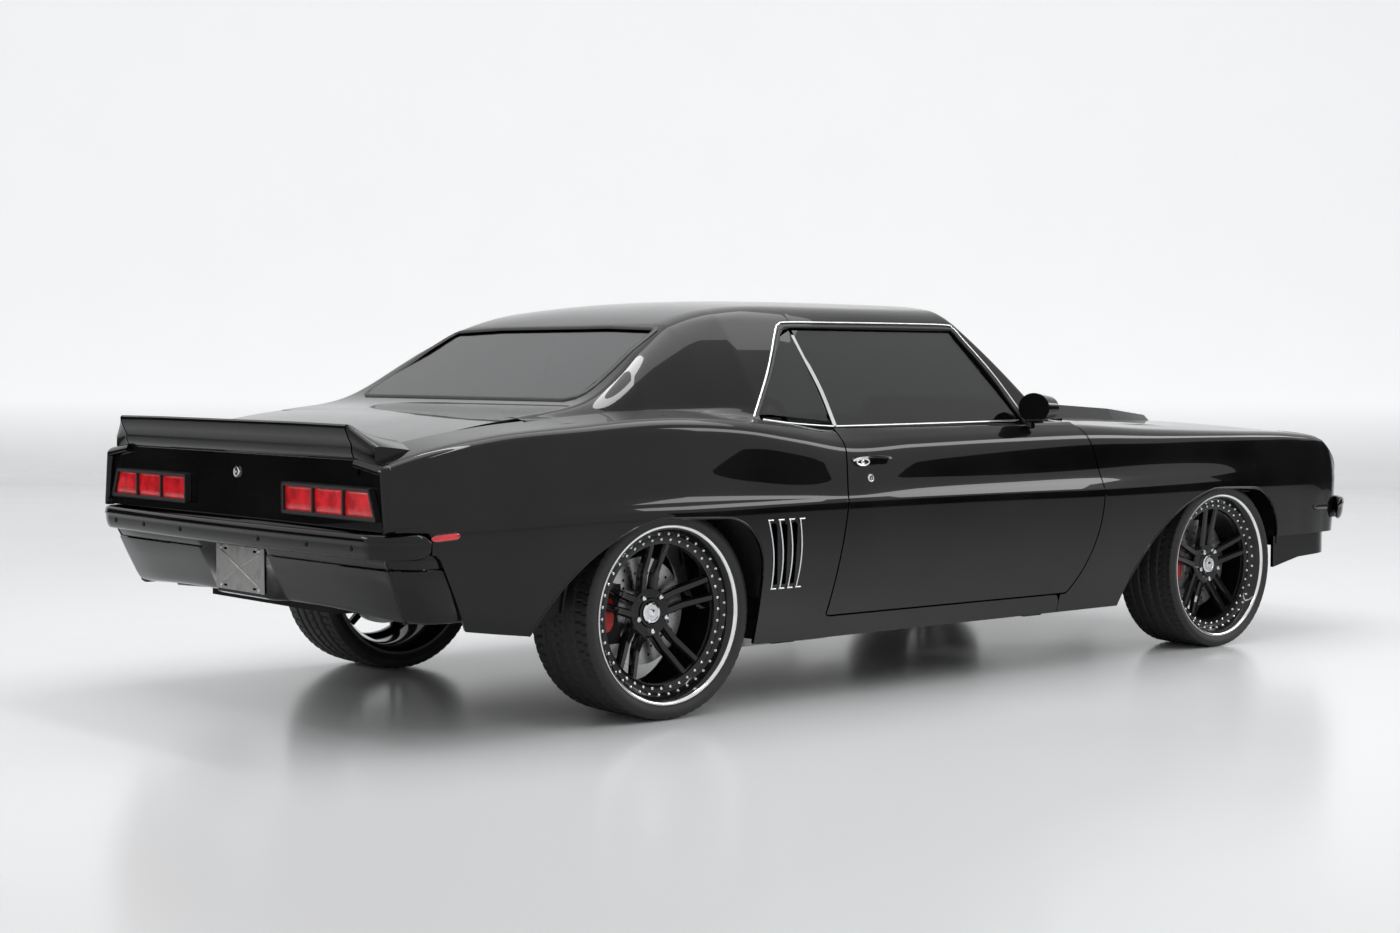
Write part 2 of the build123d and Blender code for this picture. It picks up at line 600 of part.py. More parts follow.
def bumper(tip_x, tip_y, corner_x, corner_y, reach_y, foot, head):
    """A bumper bar: an arc across the car, bent round at its ends, as high as it is told."""
    back = math.copysign(BUMPER_T, reach_y)
    with BuildPart() as bar:
        with BuildSketch(Plane.XY.offset(foot)):
            with BuildLine():
                ThreePointArc((-corner_x, corner_y), (0, reach_y), (corner_x, corner_y))
                ThreePointArc(
                    (corner_x, corner_y), ((corner_x + tip_x) / 2 + 14, (corner_y + tip_y) / 2 + back * 1.3),
                    (tip_x, tip_y),
                )
                Line((tip_x, tip_y), (tip_x - BUMPER_T, tip_y))
                ThreePointArc(
                    (tip_x - BUMPER_T, tip_y),
                    ((corner_x + tip_x) / 2 + 14 - BUMPER_T * 0.7, (corner_y + tip_y) / 2 + back * 0.6),
                    (corner_x - BUMPER_T * 0.4, corner_y - back),
                )
                ThreePointArc(
                    (corner_x - BUMPER_T * 0.4, corner_y - back), (0, reach_y - back),
                    (-corner_x + BUMPER_T * 0.4, corner_y - back),
                )
                ThreePointArc(
                    (-corner_x + BUMPER_T * 0.4, corner_y - back),
                    (-(corner_x + tip_x) / 2 - 14 + BUMPER_T * 0.7, (corner_y + tip_y) / 2 + back * 0.6),
                    (-tip_x + BUMPER_T, tip_y),
                )
                Line((-tip_x + BUMPER_T, tip_y), (-tip_x, tip_y))
                ThreePointArc(
                    (-tip_x, tip_y), (-(corner_x + tip_x) / 2 - 14, (corner_y + tip_y) / 2 + back * 1.3),
                    (-corner_x, corner_y),
                )
            make_face()
        extrude(amount=head - foot)
    return bar.part


rear_bumper = bumper(896, 2185, 800, 2334, TAIL_Y, *REAR_BUMPER_Z)
rear_bumper.label = "rear_bumper"
export_step(rear_bumper, "parts/rear_bumper.step")
FRONT_BUMPER_Z = (456, 545)
front_bumper = bumper(872, -2200, 780, -2332, NOSE_Y, *FRONT_BUMPER_Z)
front_bumper.label = "front_bumper"
export_step(front_bumper, "parts/front_bumper.step")

VALANCE_FOOT_Z = 362
IRON_X = 560
IRON_LENGTH = 60.4        # from the valance's inner face to the back of the bumper
RECESS = (170, 376, 524)    # half width, foot and head of the plate's recess
with BuildPart() as rear_valance:
    with BuildSketch(Plane.XZ.offset(-TAIL_PANEL_Y)):
        with BuildLine():
            Polyline(
                (-806, 530), (-800, 392), (-700, VALANCE_FOOT_Z), (700, VALANCE_FOOT_Z), (800, 392), (806, 530),
                close=True,
            )
        make_face()
    extrude(amount=-TAIL_PANEL_T)
    with Locations((0, TAIL_PANEL_Y + TAIL_PANEL_T, (RECESS[1] + RECESS[2]) / 2)):
        Box(2 * RECESS[0], 16, RECESS[2] - RECESS[1], mode=Mode.SUBTRACT)
    # Bumper irons
    with Locations((-IRON_X, TAIL_PANEL_Y + IRON_LENGTH / 2, 568), (IRON_X, TAIL_PANEL_Y + IRON_LENGTH / 2, 568)):
        Box(50, IRON_LENGTH, 40)
    with Locations((-IRON_X, TAIL_PANEL_Y + 8, 552), (IRON_X, TAIL_PANEL_Y + 8, 552)):
        Box(50, 16, 72)
rear_valance.part.label = "rear_valance"
export_step(rear_valance.part, "parts/rear_valance.step")

PLATE_X = 293
PLATE_Z = (384, 520)
PLATE_T = 2
PLATE_Y = TAIL_PANEL_Y + TAIL_PANEL_T - 8 + SEAT_GAP
with BuildPart() as plate_bracket:
    with BuildSketch(Plane.XZ.offset(-PLATE_Y)):
        with Locations((0, sum(PLATE_Z) / 2)):
            Rectangle(PLATE_X, PLATE_Z[1] - PLATE_Z[0])
            with GridLocations(178, 112, 2, 2):
                SlotOverall(22, 7, mode=Mode.SUBTRACT)
    extrude(amount=-PLATE_T)
plate_bracket.part.label = "plate_bracket"
export_step(plate_bracket.part, "parts/plate_bracket.step")

# ---------------------------------------------------------------- nose
HOOD_LEDGE_Z = 773.4      # under the hood's front edge
with BuildPart() as nose_panel:
    with BuildSketch(Plane.YZ) as nose_side:
        with BuildLine():
            ThreePointArc((HOOD_FRONT_Y - SHUT_GAP, 800), (-2262, 776), (-2312, 730))
            Polyline(
                (-2312, 730), (-2296, 722), (-2250, 752), (HOOD_FRONT_Y + 30, HOOD_LEDGE_Z),
                (HOOD_FRONT_Y + 30, HOOD_LEDGE_Z + 3), (HOOD_FRONT_Y - SHUT_GAP, HOOD_LEDGE_Z + 3),
                (HOOD_FRONT_Y - SHUT_GAP, 800),
            )
        make_face()
    extrude(amount=590, both=True)
nose_panel.part.label = "nose_panel"
export_step(nose_panel.part, "parts/nose_panel.step")

GRILLE_Y = -2270        # front face of the bars
GRILLE_Z = (550, 715)
GRILLE_X = 470
GRILLE_DEPTH = 14
GRILLE_COLUMNS = 12
GRILLE_ROWS = 5
LAMP_CENTRE_X = 585
LAMP_RADIUS = 86
with BuildPart() as grille:
    with BuildSketch(Plane.XZ.offset(-GRILLE_Y)):
        with Locations((0, sum(GRILLE_Z) / 2)):
            Rectangle(2 * (LAMP_CENTRE_X + LAMP_RADIUS + 20), GRILLE_Z[1] - GRILLE_Z[0])
            with GridLocations(2 * GRILLE_X / GRILLE_COLUMNS, (GRILLE_Z[1] - GRILLE_Z[0] - 10) / GRILLE_ROWS,
                               GRILLE_COLUMNS, GRILLE_ROWS):
                Rectangle(2 * GRILLE_X / GRILLE_COLUMNS - 8, (GRILLE_Z[1] - GRILLE_Z[0] - 10) / GRILLE_ROWS - 7,
                          mode=Mode.SUBTRACT)
        with Locations((-LAMP_CENTRE_X, sum(GRILLE_Z) / 2), (LAMP_CENTRE_X, sum(GRILLE_Z) / 2)):
            Circle(LAMP_RADIUS - 8 + SEAT_GAP, mode=Mode.SUBTRACT)
    extrude(amount=-GRILLE_DEPTH)
grille.part.label = "grille"
export_step(grille.part, "parts/grille.step")

with BuildPart() as headlamps:
    with BuildSketch(Plane.XZ.offset(-GRILLE_Y + 10)):
        with Locations((-LAMP_CENTRE_X, sum(GRILLE_Z) / 2), (LAMP_CENTRE_X, sum(GRILLE_Z) / 2)):
            Circle(LAMP_RADIUS - 8)
    extrude(amount=-60)
headlamps.part.label = "headlamps"
export_step(headlamps.part, "parts/headlamps.step")

FRONT_VALANCE_FOOT = [(-1776, 285), (-1955, 316), (-2300, 330)]
with BuildPart() as front_valance:
    with BuildSketch(Plane.XY.offset(270)):
        with BuildLine():
            Polyline((-858, -1776), (-846, -2080))
            ThreePointArc((-846, -2080), (-800, -2190), (-700, -2236))
            ThreePointArc((-700, -2236), (0, -2262), (700, -2236))
            ThreePointArc((700, -2236), (800, -2190), (846, -2080))
            Polyline((846, -2080), (858, -1776), (846, -1776), (834, -2080))
            ThreePointArc((834, -2080), (790, -2180), (700, -2224))
            ThreePointArc((700, -2224), (0, -2250), (-700, -2224))
            ThreePointArc((-700, -2224), (-790, -2180), (-834, -2080))
            Polyline((-834, -2080), (-846, -1776), (-858, -1776))
        make_face()
    extrude(amount=CHIN[1][1] - SEAT_GAP - 270)
    extrude(side_polygon(*FRONT_VALANCE_FOOT, (-2400, 330), (-2400, 200), (-1700, 200)), amount=REACH, both=True,
            mode=Mode.SUBTRACT)
front_valance.part.label = "front_valance"
export_step(front_valance.part, "parts/front_valance.step")

# The radiator support closes the nose between the aprons and carries the grille, the valance and the bumper.
SUPPORT_Y = -2200
with BuildPart() as radiator_support:
    with Locations((0, SUPPORT_Y, (395 + 760.0) / 2)):
        Box(1180, 20, 760.0 - 395)
        with Locations((0, 0, 20)):
            Box(900, 20, 240, mode=Mode.SUBTRACT)
    for side in (-1, 1):
        with Locations((side * 486, (SUPPORT_Y + GRILLE_Y + GRILLE_DEPTH + SEAT_GAP) / 2, 600)):
            Box(20, SUPPORT_Y - GRILLE_Y - GRILLE_DEPTH - SEAT_GAP, 40)
        with Locations((side * 520, (SUPPORT_Y - 2330.8) / 2, 500)):
            Box(50, 2330.8 + SUPPORT_Y, 40)
        with Locations((side * 520, (SUPPORT_Y - 2234.2) / 2, 385)):
            Box(50, 2234.2 + SUPPORT_Y, 30)
radiator_support.part.label = "radiator_support"
export_step(radiator_support.part, "parts/radiator_support.step")

# ---------------------------------------------------------------- cowl, firewall and hinge pillars
FLANGE_X = HOOD_EDGE[-600][0] + SHUT_GAP
PILLAR_Y = (-690, -560)
PILLAR_X = (700, 760)
COWL_Z = 862
PILLAR_TOP_Z = 828
with BuildPart() as cowl_firewall:
    with Locations((0, (HOOD_REAR_Y + SHUT_GAP - 430) / 2, COWL_Z + 9)):
        Box(2 * (FLANGE_X - 6.6), -430 - HOOD_REAR_Y - SHUT_GAP, 18)
    with Locations((0, HOOD_REAR_Y + SHUT_GAP + SHEET / 2, (COWL_Z + FLOOR_Z) / 2 + 4)):
        Box(2 * (FLANGE_X - 6.6), SHEET, COWL_Z - FLOOR_Z + 8)
    for side in (-1, 1):
        with Locations((side * (sum(PILLAR_X) + SEAT_GAP) / 2, sum(PILLAR_Y) / 2, (PILLAR_TOP_Z + FLOOR_Z) / 2)):
            Box(PILLAR_X[1] - PILLAR_X[0] - SEAT_GAP, PILLAR_Y[1] - PILLAR_Y[0], PILLAR_TOP_Z - FLOOR_Z)
        with Locations((side * (PILLAR_X[1] + DOOR_HINGE_X) / 2, DOOR_HINGE_Y, HINGE_ARM_Z)):
            Box(DOOR_HINGE_X - PILLAR_X[1] + 4, 2 * HINGE_PIN_R + 2, HINGE_ARM_T)
        with Locations((side * DOOR_HINGE_X, DOOR_HINGE_Y, HINGE_ARM_Z)):
            Cylinder(HINGE_PIN_R, HINGE_PIN_LENGTH)
            Cylinder(HINGE_PIN_R + 1, HINGE_ARM_T)
    # The windshield stands on the rear of the cowl, and the hood's rear edge passes over its front.
    with Locations((0, -430 - 20, COWL_Z - 30)):
        Box(2 * PILLAR_X[1] - 20, 40, 60)
cowl_firewall.part.label = "cowl_firewall"
export_step(cowl_firewall.part, "parts/cowl_firewall.step")

# ---------------------------------------------------------------- floor and underside
TUNNEL_X = 130
TUNNEL_Z = 330
KICK_Y = 700            # where the floor steps up ahead of the rear seat
REAR_FLOOR_Z = 450
SILL_X = 841
TUB_X = 575             # inboard faces of the rear wheel houses
REAR_WHEEL = (REAR_AXLE_Y, 318)
TUB_RADIUS = 372
FLOOR_FRONT_Y = HOOD_REAR_Y + SHUT_GAP + SHEET + SEAT_GAP
SILL_TOP_Z = 262
SILL_Y = (-460, 880)
PAD = (70, 90, 12)      # jacking pads under the sills
PAD_PLACES = [(780, -400), (780, 800)]
FLOOR_MIDDLE_Y = (FLOOR_FRONT_Y + KICK_Y) / 2
FLOOR_LENGTH = KICK_Y - FLOOR_FRONT_Y
# Pans, tunnel, sills, kick panel and rear floor lie edge to edge, each its own sheet.
with BuildPart() as floor_pan:
    with Locations((0, FLOOR_MIDDLE_Y, (FLOOR_Z + TUNNEL_Z) / 2)):
        Box(2 * TUNNEL_X, FLOOR_LENGTH, TUNNEL_Z - FLOOR_Z)
    with Locations((0, FLOOR_MIDDLE_Y, (FLOOR_Z + TUNNEL_Z) / 2 - SHEET)):
        Box(2 * TUNNEL_X - 2 * SHEET, FLOOR_LENGTH, TUNNEL_Z - FLOOR_Z, mode=Mode.SUBTRACT)
    for side in (-1, 1):
        with Locations((side * (TUNNEL_X + PILLAR_X[0]) / 2, FLOOR_MIDDLE_Y, FLOOR_Z + SHEET / 2)):
            Box(PILLAR_X[0] - TUNNEL_X - 2 * SEAT_GAP, FLOOR_LENGTH, SHEET)
        with Locations((side * (PILLAR_X[0] + SILL_X) / 2, sum(SILL_Y) / 2, (FLOOR_Z + SILL_TOP_Z) / 2)):
            Box(SILL_X - PILLAR_X[0], SILL_Y[1] - SILL_Y[0], SILL_TOP_Z - FLOOR_Z)
        for x, y in PAD_PLACES:
            with Locations((side * x, y, FLOOR_Z - PAD[2] / 2)):
                Box(*PAD)
    with Locations((0, KICK_Y + SEAT_GAP + SHEET / 2, (FLOOR_Z + REAR_FLOOR_Z + SHEET) / 2)):
        Box(2 * PILLAR_X[0] - 2 * SEAT_GAP, SHEET, REAR_FLOOR_Z + SHEET - FLOOR_Z)
    with Locations((0, (KICK_Y + SHEET + TAIL_PANEL_Y) / 2, REAR_FLOOR_Z + SHEET / 2)):
        Box(2 * TUB_X - 2 * SEAT_GAP, TAIL_PANEL_Y - KICK_Y - SHEET - 4 * SEAT_GAP, SHEET)
floor_pan.part.label = "floor_pan"
export_step(floor_pan.part, "parts/floor_pan.step")

with BuildPart() as wheel_houses:
    with BuildSketch(Plane.YZ.offset(TUB_X + SHEET)) as tub_ring:
        with BuildLine():
            r = TUB_RADIUS
            y, z = REAR_WHEEL
            ThreePointArc((y - r, z + 30), (y, z + r), (y + r, z + 30))
            Line((y + r, z + 30), (y + r + SHEET, z + 30))
            ThreePointArc((y + r + SHEET, z + 30), (y, z + r + SHEET), (y - r - SHEET, z + 30))
            Line((y - r - SHEET, z + 30), (y - r, z + 30))
        make_face()
    extrude(amount=835 - TUB_X - SHEET)
    with BuildSketch(Plane.YZ.offset(TUB_X)) as tub_wall:
        with BuildLine():
            ThreePointArc((y - r - SHEET, z + 30), (y, z + r + SHEET), (y + r + SHEET, z + 30))
            Line((y + r + SHEET, z + 30), (y - r - SHEET, z + 30))
        make_face()
        with Locations((y, z)):
            Rectangle(2 * r, 2 * (REAR_FLOOR_Z - z), mode=Mode.SUBTRACT)
    extrude(amount=SHEET)
    mirror(about=Plane.YZ)
wheel_houses.part.label = "wheel_houses"
export_step(wheel_houses.part, "parts/wheel_houses.step")

RAIL_X = 395
RAIL = (64, 90)
ARM_Z = 206
with BuildPart() as subframe:
    for side in (-1, 1):
        with Locations((side * RAIL_X, (-2190 - 700) / 2, 280)):
            Box(RAIL[0], 1490 - 1, RAIL[1])
        with Locations((side * RAIL_X, -580, FLOOR_Z - SEAT_GAP - 25)):
            Box(RAIL[0], 360, 50)
        with Locations((side * RAIL_X, -730, (FLOOR_Z - SEAT_GAP + 325) / 2 - 25)):
            Box(RAIL[0], 60, 175)
        # Lower control arm, out to the foot of the kingpin
        with BuildSketch(Plane.XY.offset(ARM_Z)):
            with BuildLine():
                Polyline(
                    (side * (RAIL_X - 20), FRONT_AXLE_Y - 105), (side * (KINGPIN_X + 5), FRONT_AXLE_Y - 22),
                    (side * (KINGPIN_X + 5), FRONT_AXLE_Y + 22), (side * (RAIL_X - 20), FRONT_AXLE_Y + 105),
                    close=True,
                )
            make_face()
        extrude(amount=18)
        with Locations((side * RAIL_X, FRONT_AXLE_Y, 232)):
            Box(RAIL[0], 230, 52)
    with Locations((0, FRONT_AXLE_Y, 232)):
        Box(2 * RAIL_X, 110, 52)
    with Locations((0, -2140, 280)):
        Box(2 * RAIL_X, 50, 60)
subframe.part.label = "subframe"
export_step(subframe.part, "parts/subframe.step")

ENGINE_Z = (258 + SEAT_GAP, 760)
with BuildPart() as engine:
    with Locations((0, -1250, sum(ENGINE_Z) / 2)):
        Box(560, 720, ENGINE_Z[1] - ENGINE_Z[0])
    chamfer(engine.edges().filter_by(Axis.Y).group_by(Axis.Z)[-1], 120)
engine.part.label = "engine"
export_step(engine.part, "parts/engine.step")

APRON_X = 436
FLANGE_UNDER = [(-1890, 797.2), (-1010, 832.4)]
APRON_TOP_Z = 770
with BuildPart() as inner_fenders:
    for side in (-1, 1):
        with BuildSketch(Plane.YZ.offset(side * APRON_X)):
            with BuildLine():
                Polyline((-1890, 300), (-1890, APRON_TOP_Z), (-1010, APRON_TOP_Z), (-1010, 300), close=True)
            make_face()
        extrude(amount=side * SHEET)
        with Locations((side * (APRON_X + FLANGE_X + 3) / 2, -1450, APRON_TOP_Z - SHEET / 2)):
            Box(FLANGE_X + 3 - APRON_X, 880, SHEET)
        with BuildSketch(Plane.YZ.offset(side * (FLANGE_X - 0.5))):
            with BuildLine():
                Polyline((-1890, APRON_TOP_Z - SHEET), *FLANGE_UNDER, (-1010, APRON_TOP_Z - SHEET), close=True)
            make_face()
        extrude(amount=side * 4)
        with Locations((side * (APRON_X - 20), -1450, 325 + SEAT_GAP + SHEET / 2)):
            Box(48, 880, SHEET)
inner_fenders.part.label = "inner_fenders"
export_step(inner_fenders.part, "parts/inner_fenders.step")

AXLE_R = 40
DISC_R = 166
DISC_T = 24
CALIPER_HALF = 31
HAT_R = 74
HAT_STEP = 20
HUB_T = 28
REAR_RIM_FACE_X = 868
FRONT_RIM_FACE_X = 862
REAR_DISH = 92
FRONT_DISH = 62
REAR_DISC_X = REAR_RIM_FACE_X - REAR_DISH - HUB_T - SEAT_GAP - DISC_T / 2 - HAT_STEP
FRONT_DISC_X = FRONT_RIM_FACE_X - FRONT_DISH - HUB_T - SEAT_GAP - DISC_T / 2 - HAT_STEP
with BuildPart() as rear_axle:
    for side in (-1, 1):
        # Caliper over the rear of the disc, on its bracket
        with BuildSketch(Plane.YZ.offset(side * REAR_DISC_X)):
            with Locations((REAR_AXLE_Y, REAR_WHEEL[1])):
                Circle(DISC_R + 22)
                Circle(DISC_R - 62, mode=Mode.SUBTRACT)
            with Locations((REAR_AXLE_Y - 60, REAR_WHEEL[1])):
                Rectangle(300, 600, mode=Mode.SUBTRACT)
            with Locations((REAR_AXLE_Y, REAR_WHEEL[1] + 170), (REAR_AXLE_Y, REAR_WHEEL[1] - 170)):
                Rectangle(500, 160, mode=Mode.SUBTRACT)
        extrude(amount=CALIPER_HALF, both=True)
        with Locations((side * REAR_DISC_X, REAR_AXLE_Y, REAR_WHEEL[1])):
            Cylinder(DISC_R + 6, DISC_T + 12, rotation=(0, 90, 0), mode=Mode.SUBTRACT)
        with Locations((side * (REAR_DISC_X - CALIPER_HALF + 6), REAR_AXLE_Y + 75, REAR_WHEEL[1])):
            Box(12, 110, 80)
    with Locations((0, REAR_AXLE_Y, REAR_WHEEL[1])):
        Cylinder(AXLE_R, 2 * (REAR_DISC_X - DISC_T / 2 - RUNNING_GAP), rotation=(0, 90, 0))
        Cylinder(120, 200, rotation=(0, 90, 0))
        Box(150, 320, 150)
rear_axle.part.label = "rear_axle"
export_step(rear_axle.part, "parts/rear_axle.step")

SPRING_X = 480
with BuildPart() as leaf_springs:
    for side in (-1, 1):
        with BuildSketch(Plane.YZ.offset(side * SPRING_X - 30)):
            with BuildLine():
                ThreePointArc((760, 330), (REAR_AXLE_Y, REAR_WHEEL[1] - AXLE_R - 36), (1900, 340))
                Line((1900, 340), (1900, 360))
                ThreePointArc((1900, 360), (REAR_AXLE_Y, REAR_WHEEL[1] - AXLE_R - SEAT_GAP), (760, 350))
                Line((760, 350), (760, 330))
            make_face()
        extrude(amount=60)
        with Locations((side * SPRING_X, 772, (345 + REAR_FLOOR_Z - SEAT_GAP) / 2),
                       (side * SPRING_X, 1888, (345 + REAR_FLOOR_Z - SEAT_GAP) / 2)):
            Box(60, 24, REAR_FLOOR_Z - SEAT_GAP - 345)
leaf_springs.part.label = "leaf_springs"
export_step(leaf_springs.part, "parts/leaf_springs.step")

with BuildPart() as fuel_tank:
    with Locations((0, 1980, REAR_FLOOR_Z - SEAT_GAP - 55)):
        Box(780, 400, 110)
    fillet(fuel_tank.edges().filter_by(Axis.Z), 40)
fuel_tank.part.label = "fuel_tank"
export_step(fuel_tank.part, "parts/fuel_tank.step")

EXHAUST_X = 250
EXHAUST_R = 30
with BuildPart() as exhaust:
    for side in (-1, 1):
        with BuildSketch(Plane.XZ.offset(760)):
            with Locations((side * EXHAUST_X, FLOOR_Z - SEAT_GAP - EXHAUST_R)):
                Circle(EXHAUST_R)
        extrude(amount=-1860)
        with Locations((side * EXHAUST_X, 420, FLOOR_Z - SEAT_GAP - 45)):
            Box(210, 500, 90)
exhaust.part.label = "exhaust"
export_step(exhaust.part, "parts/exhaust.step")

# ---------------------------------------------------------------- cabin
with BuildPart() as dashboard:
    with BuildSketch(Plane.YZ) as dash_side:
        with BuildLine():
            Polyline(
                (-430 + 0.3, 640), (-430 + 0.3, 858), (-400, 864), (-270, 850), (-250, 820), (-290, 700), (-330, 640),
                close=True,
            )
        make_face()
    extrude(amount=680, both=True)
dashboard.part.label = "dashboard"
export_step(dashboard.part, "parts/dashboard.step")

WHEEL_X = 370
COLUMN_START = Vector(WHEEL_X, -300, 700)
COLUMN_TILT = 22
column = Plane(origin=COLUMN_START, x_dir=(1, 0, 0), z_dir=Vector(0, 1, 0).rotate(Axis.X, COLUMN_TILT))
COLUMN_LENGTH = 180
with BuildPart() as steering_column:
    with BuildSketch(column):
        Circle(24)
    extrude(amount=COLUMN_LENGTH)
    extrude(dash_side.sketch, amount=680, both=True, mode=Mode.SUBTRACT)
steering_column.part.label = "steering_column"
export_step(steering_column.part, "parts/steering_column.step")
hub_plane = column.offset(COLUMN_LENGTH + SEAT_GAP)
STEERING_R = 178
with BuildPart() as steering_wheel:
    with BuildSketch(hub_plane):
        Circle(45)
        for angle in (0, 120, 240):
            with Locations(Rot(0, 0, angle - 90) * Pos(STEERING_R / 2, 0)):
                Rectangle(STEERING_R, 26)
    extrude(amount=16)
    with BuildSketch(Plane(origin=hub_plane.origin + hub_plane.z_dir * 8, x_dir=(1, 0, 0),
                           z_dir=hub_plane.y_dir)) as rim_section:
        with Locations((STEERING_R, 0)):
            Circle(14)
    revolve(axis=Axis(hub_plane.origin, hub_plane.z_dir))
steering_wheel.part.label = "steering_wheel"
export_step(steering_wheel.part, "parts/steering_wheel.step")

SEAT_X = 370
with BuildPart() as front_seats:
    for side in (-1, 1):
        with BuildSketch(Plane.YZ.offset(side * SEAT_X - 225)):
            with BuildLine():
                Polyline(
                    (-30, FLOOR_Z + SHEET + SEAT_GAP), (-40, 400), (20, 430), (380, 400), (490, 830), (570, 820),
                    (500, 420), (440, FLOOR_Z + SHEET + SEAT_GAP), close=True,
                )
            make_face()
        extrude(amount=450)
    fillet(front_seats.edges().filter_by(Axis.X).group_by(Axis.Z)[-1], 30)
front_seats.part.label = "front_seats"
export_step(front_seats.part, "parts/front_seats.step")

with BuildPart() as rear_seat:
    with BuildSketch(Plane.YZ.offset(-560)):
        with BuildLine():
            Polyline(
                (KICK_Y + 20, REAR_FLOOR_Z + SHEET + SEAT_GAP), (KICK_Y + 10, 520), (1050, 500), (1150, 860),
                (1230, 860), (1140, REAR_FLOOR_Z + SHEET + SEAT_GAP), close=True,
            )
        make_face()
    extrude(amount=1120)
rear_seat.part.label = "rear_seat"
export_step(rear_seat.part, "parts/rear_seat.step")

# ---------------------------------------------------------------- door glass, mirror and handle
MIRROR_AT = (893, -330, 925)
HANDLE_AT = (903, 500, 760)
with BuildPart() as mirror_head:
    with BuildSketch(Plane.XZ.offset(-MIRROR_AT[1] + 35)):
        with Locations((MIRROR_AT[0] + 4, MIRROR_AT[2])):
            Ellipse(58, 42)
    with BuildSketch(Plane.XZ.offset(-MIRROR_AT[1] + -30)):
        with Locations((MIRROR_AT[0] + 4, MIRROR_AT[2])):
            Ellipse(70, 52)
    loft()
    with BuildSketch(Plane.XY.offset(BELT_Z - 24)):
        with Locations((MIRROR_AT[0] - 40, MIRROR_AT[1] - 5)):
            Ellipse(9, 22)
    extrude(amount=60)
    with Locations((0, 0, SEAT_GAP)):
        add(door.part, mode=Mode.SUBTRACT)
with BuildPart() as handle:
    with Locations((0, 0, 0)):
        with BuildSketch(Plane.YZ.offset(HANDLE_AT[0] - 30)):
            with Locations((HANDLE_AT[1] - 60, HANDLE_AT[2]), (HANDLE_AT[1] + 60, HANDLE_AT[2])):
                Circle(14)
        extrude(amount=45)
        with Locations((HANDLE_AT[0] + 18, HANDLE_AT[1], HANDLE_AT[2])):
            Box(12, 170, 26)
handle_cut = door.part.translate((SEAT_GAP, 0, 0))
with BuildPart() as door_handle:
    add(handle.part)
    add(handle_cut, mode=Mode.SUBTRACT)
for piece, name in ((door_glass, "door_glass"), (mirror_head, "mirror"), (door_handle, "door_handle")):
    piece.part.label = f"{name}_left"
    export_step(piece.part, f"parts/{name}_left.step")
    right = mirror(piece.part, about=Plane.YZ)
    right.label = f"{name}_right"
    export_step(right, f"parts/{name}_right.step")

# ---------------------------------------------------------------- wheels, tyres, discs and knuckles
RIM_R = 268
LIP_R = 258
BEAD_R = 255
WELL_R = 236
RIM_WALL = 9
HUB_R = 68
SPOKES = 5
REAR_RIM_WIDTH = 270
FRONT_RIM_WIDTH = 235
FRONT_WHEEL = (FRONT_AXLE_Y, 313)


def rim(width, dish):
    """A five-spoke rim about the X axis, with its outer lip in the plane x = 0."""
    with BuildPart() as star:
        with BuildSketch(Plane.YZ):
            Circle(HUB_R + 12)
            with PolarLocations(0, SPOKES):
                for lean in (-1, 1):
                    with Locations(Rot(0, 0, 90 + lean * 7) * Pos(145, lean * 14)):
                        Rectangle(205, 27)
        extrude(amount=-200)
    with BuildPart() as wheel:
        with BuildSketch(Plane.XY):
            with BuildLine():
                Polyline(
                    (-dish, 0), (-dish, HUB_R), (-dish + 4, 120), (-38, WELL_R - 2), (-62, WELL_R - 2),
                    (-dish - HUB_T + 6, 120), (-dish - HUB_T, HUB_R), (-dish - HUB_T, 0), close=True,
                )
            make_face()
        revolve(axis=Axis.X)
        add(star.part, mode=Mode.INTERSECT)
        with BuildSketch(Plane.XY):
            with BuildLine():
                Polyline(
                    (0, RIM_R), (-8, RIM_R), (-10, BEAD_R + 2), (-34, BEAD_R), (-58, WELL_R),
                    (-width + 50, WELL_R), (-width + 34, BEAD_R), (-width + 10, BEAD_R + 2),
                    (-width + 8, RIM_R), (-width, RIM_R), (-width, LIP_R), (-width + 14, BEAD_R - RIM_WALL),
                    (-width + 54, WELL_R - RIM_WALL), (-62, WELL_R - RIM_WALL), (-36, BEAD_R - RIM_WALL),
                    (-12, LIP_R - 8), (0, LIP_R), close=True,
                )
            make_face()
        revolve(axis=Axis.X)
    return wheel.part


def tyre(width, radius):
    """A tyre seated on that rim, a wall that is open on its inner side."""
    g = SEAT_GAP
    half = [
        (-30, BEAD_R + 0.4 + g), (-10 - g, BEAD_R + 2 + g), (-8 - g, RIM_R + g), (2, RIM_R + 2),
    ]
    inner = [(-30, BEAD_R + 10), (-16, RIM_R), (-4, RIM_R + 10)]
    centre = -width / 2
    with BuildPart() as ring:
        with BuildSketch(Plane.XY):
            with BuildLine():
                Polyline(*half)
                ThreePointArc(half[-1], (8, (RIM_R + radius) / 2 - 2), (-4, radius - 6))
                ThreePointArc((-4, radius - 6), (-9, radius - 2), (-18, radius))
                Line((-18, radius), (centre, radius))
                Line((centre, radius), (centre, radius - 13))
                Line((centre, radius - 13), (-22, radius - 13))
                ThreePointArc((-22, radius - 13), (-2, radius - 22), inner[-1])
                Polyline(*inner[::-1], half[0])
            make_face()
            mirror(about=Plane.YZ.offset(centre))
        revolve(axis=Axis.X)
    return ring.part


with BuildPart() as disc:
    with BuildSketch(Plane.YZ):
        Circle(DISC_R)
        Circle(HAT_R - 8, mode=Mode.SUBTRACT)
    extrude(amount=DISC_T / 2, both=True)
    with BuildSketch(Plane.YZ.offset(-DISC_T / 2)):
        Circle(HAT_R)
    extrude(amount=DISC_T + HAT_STEP)

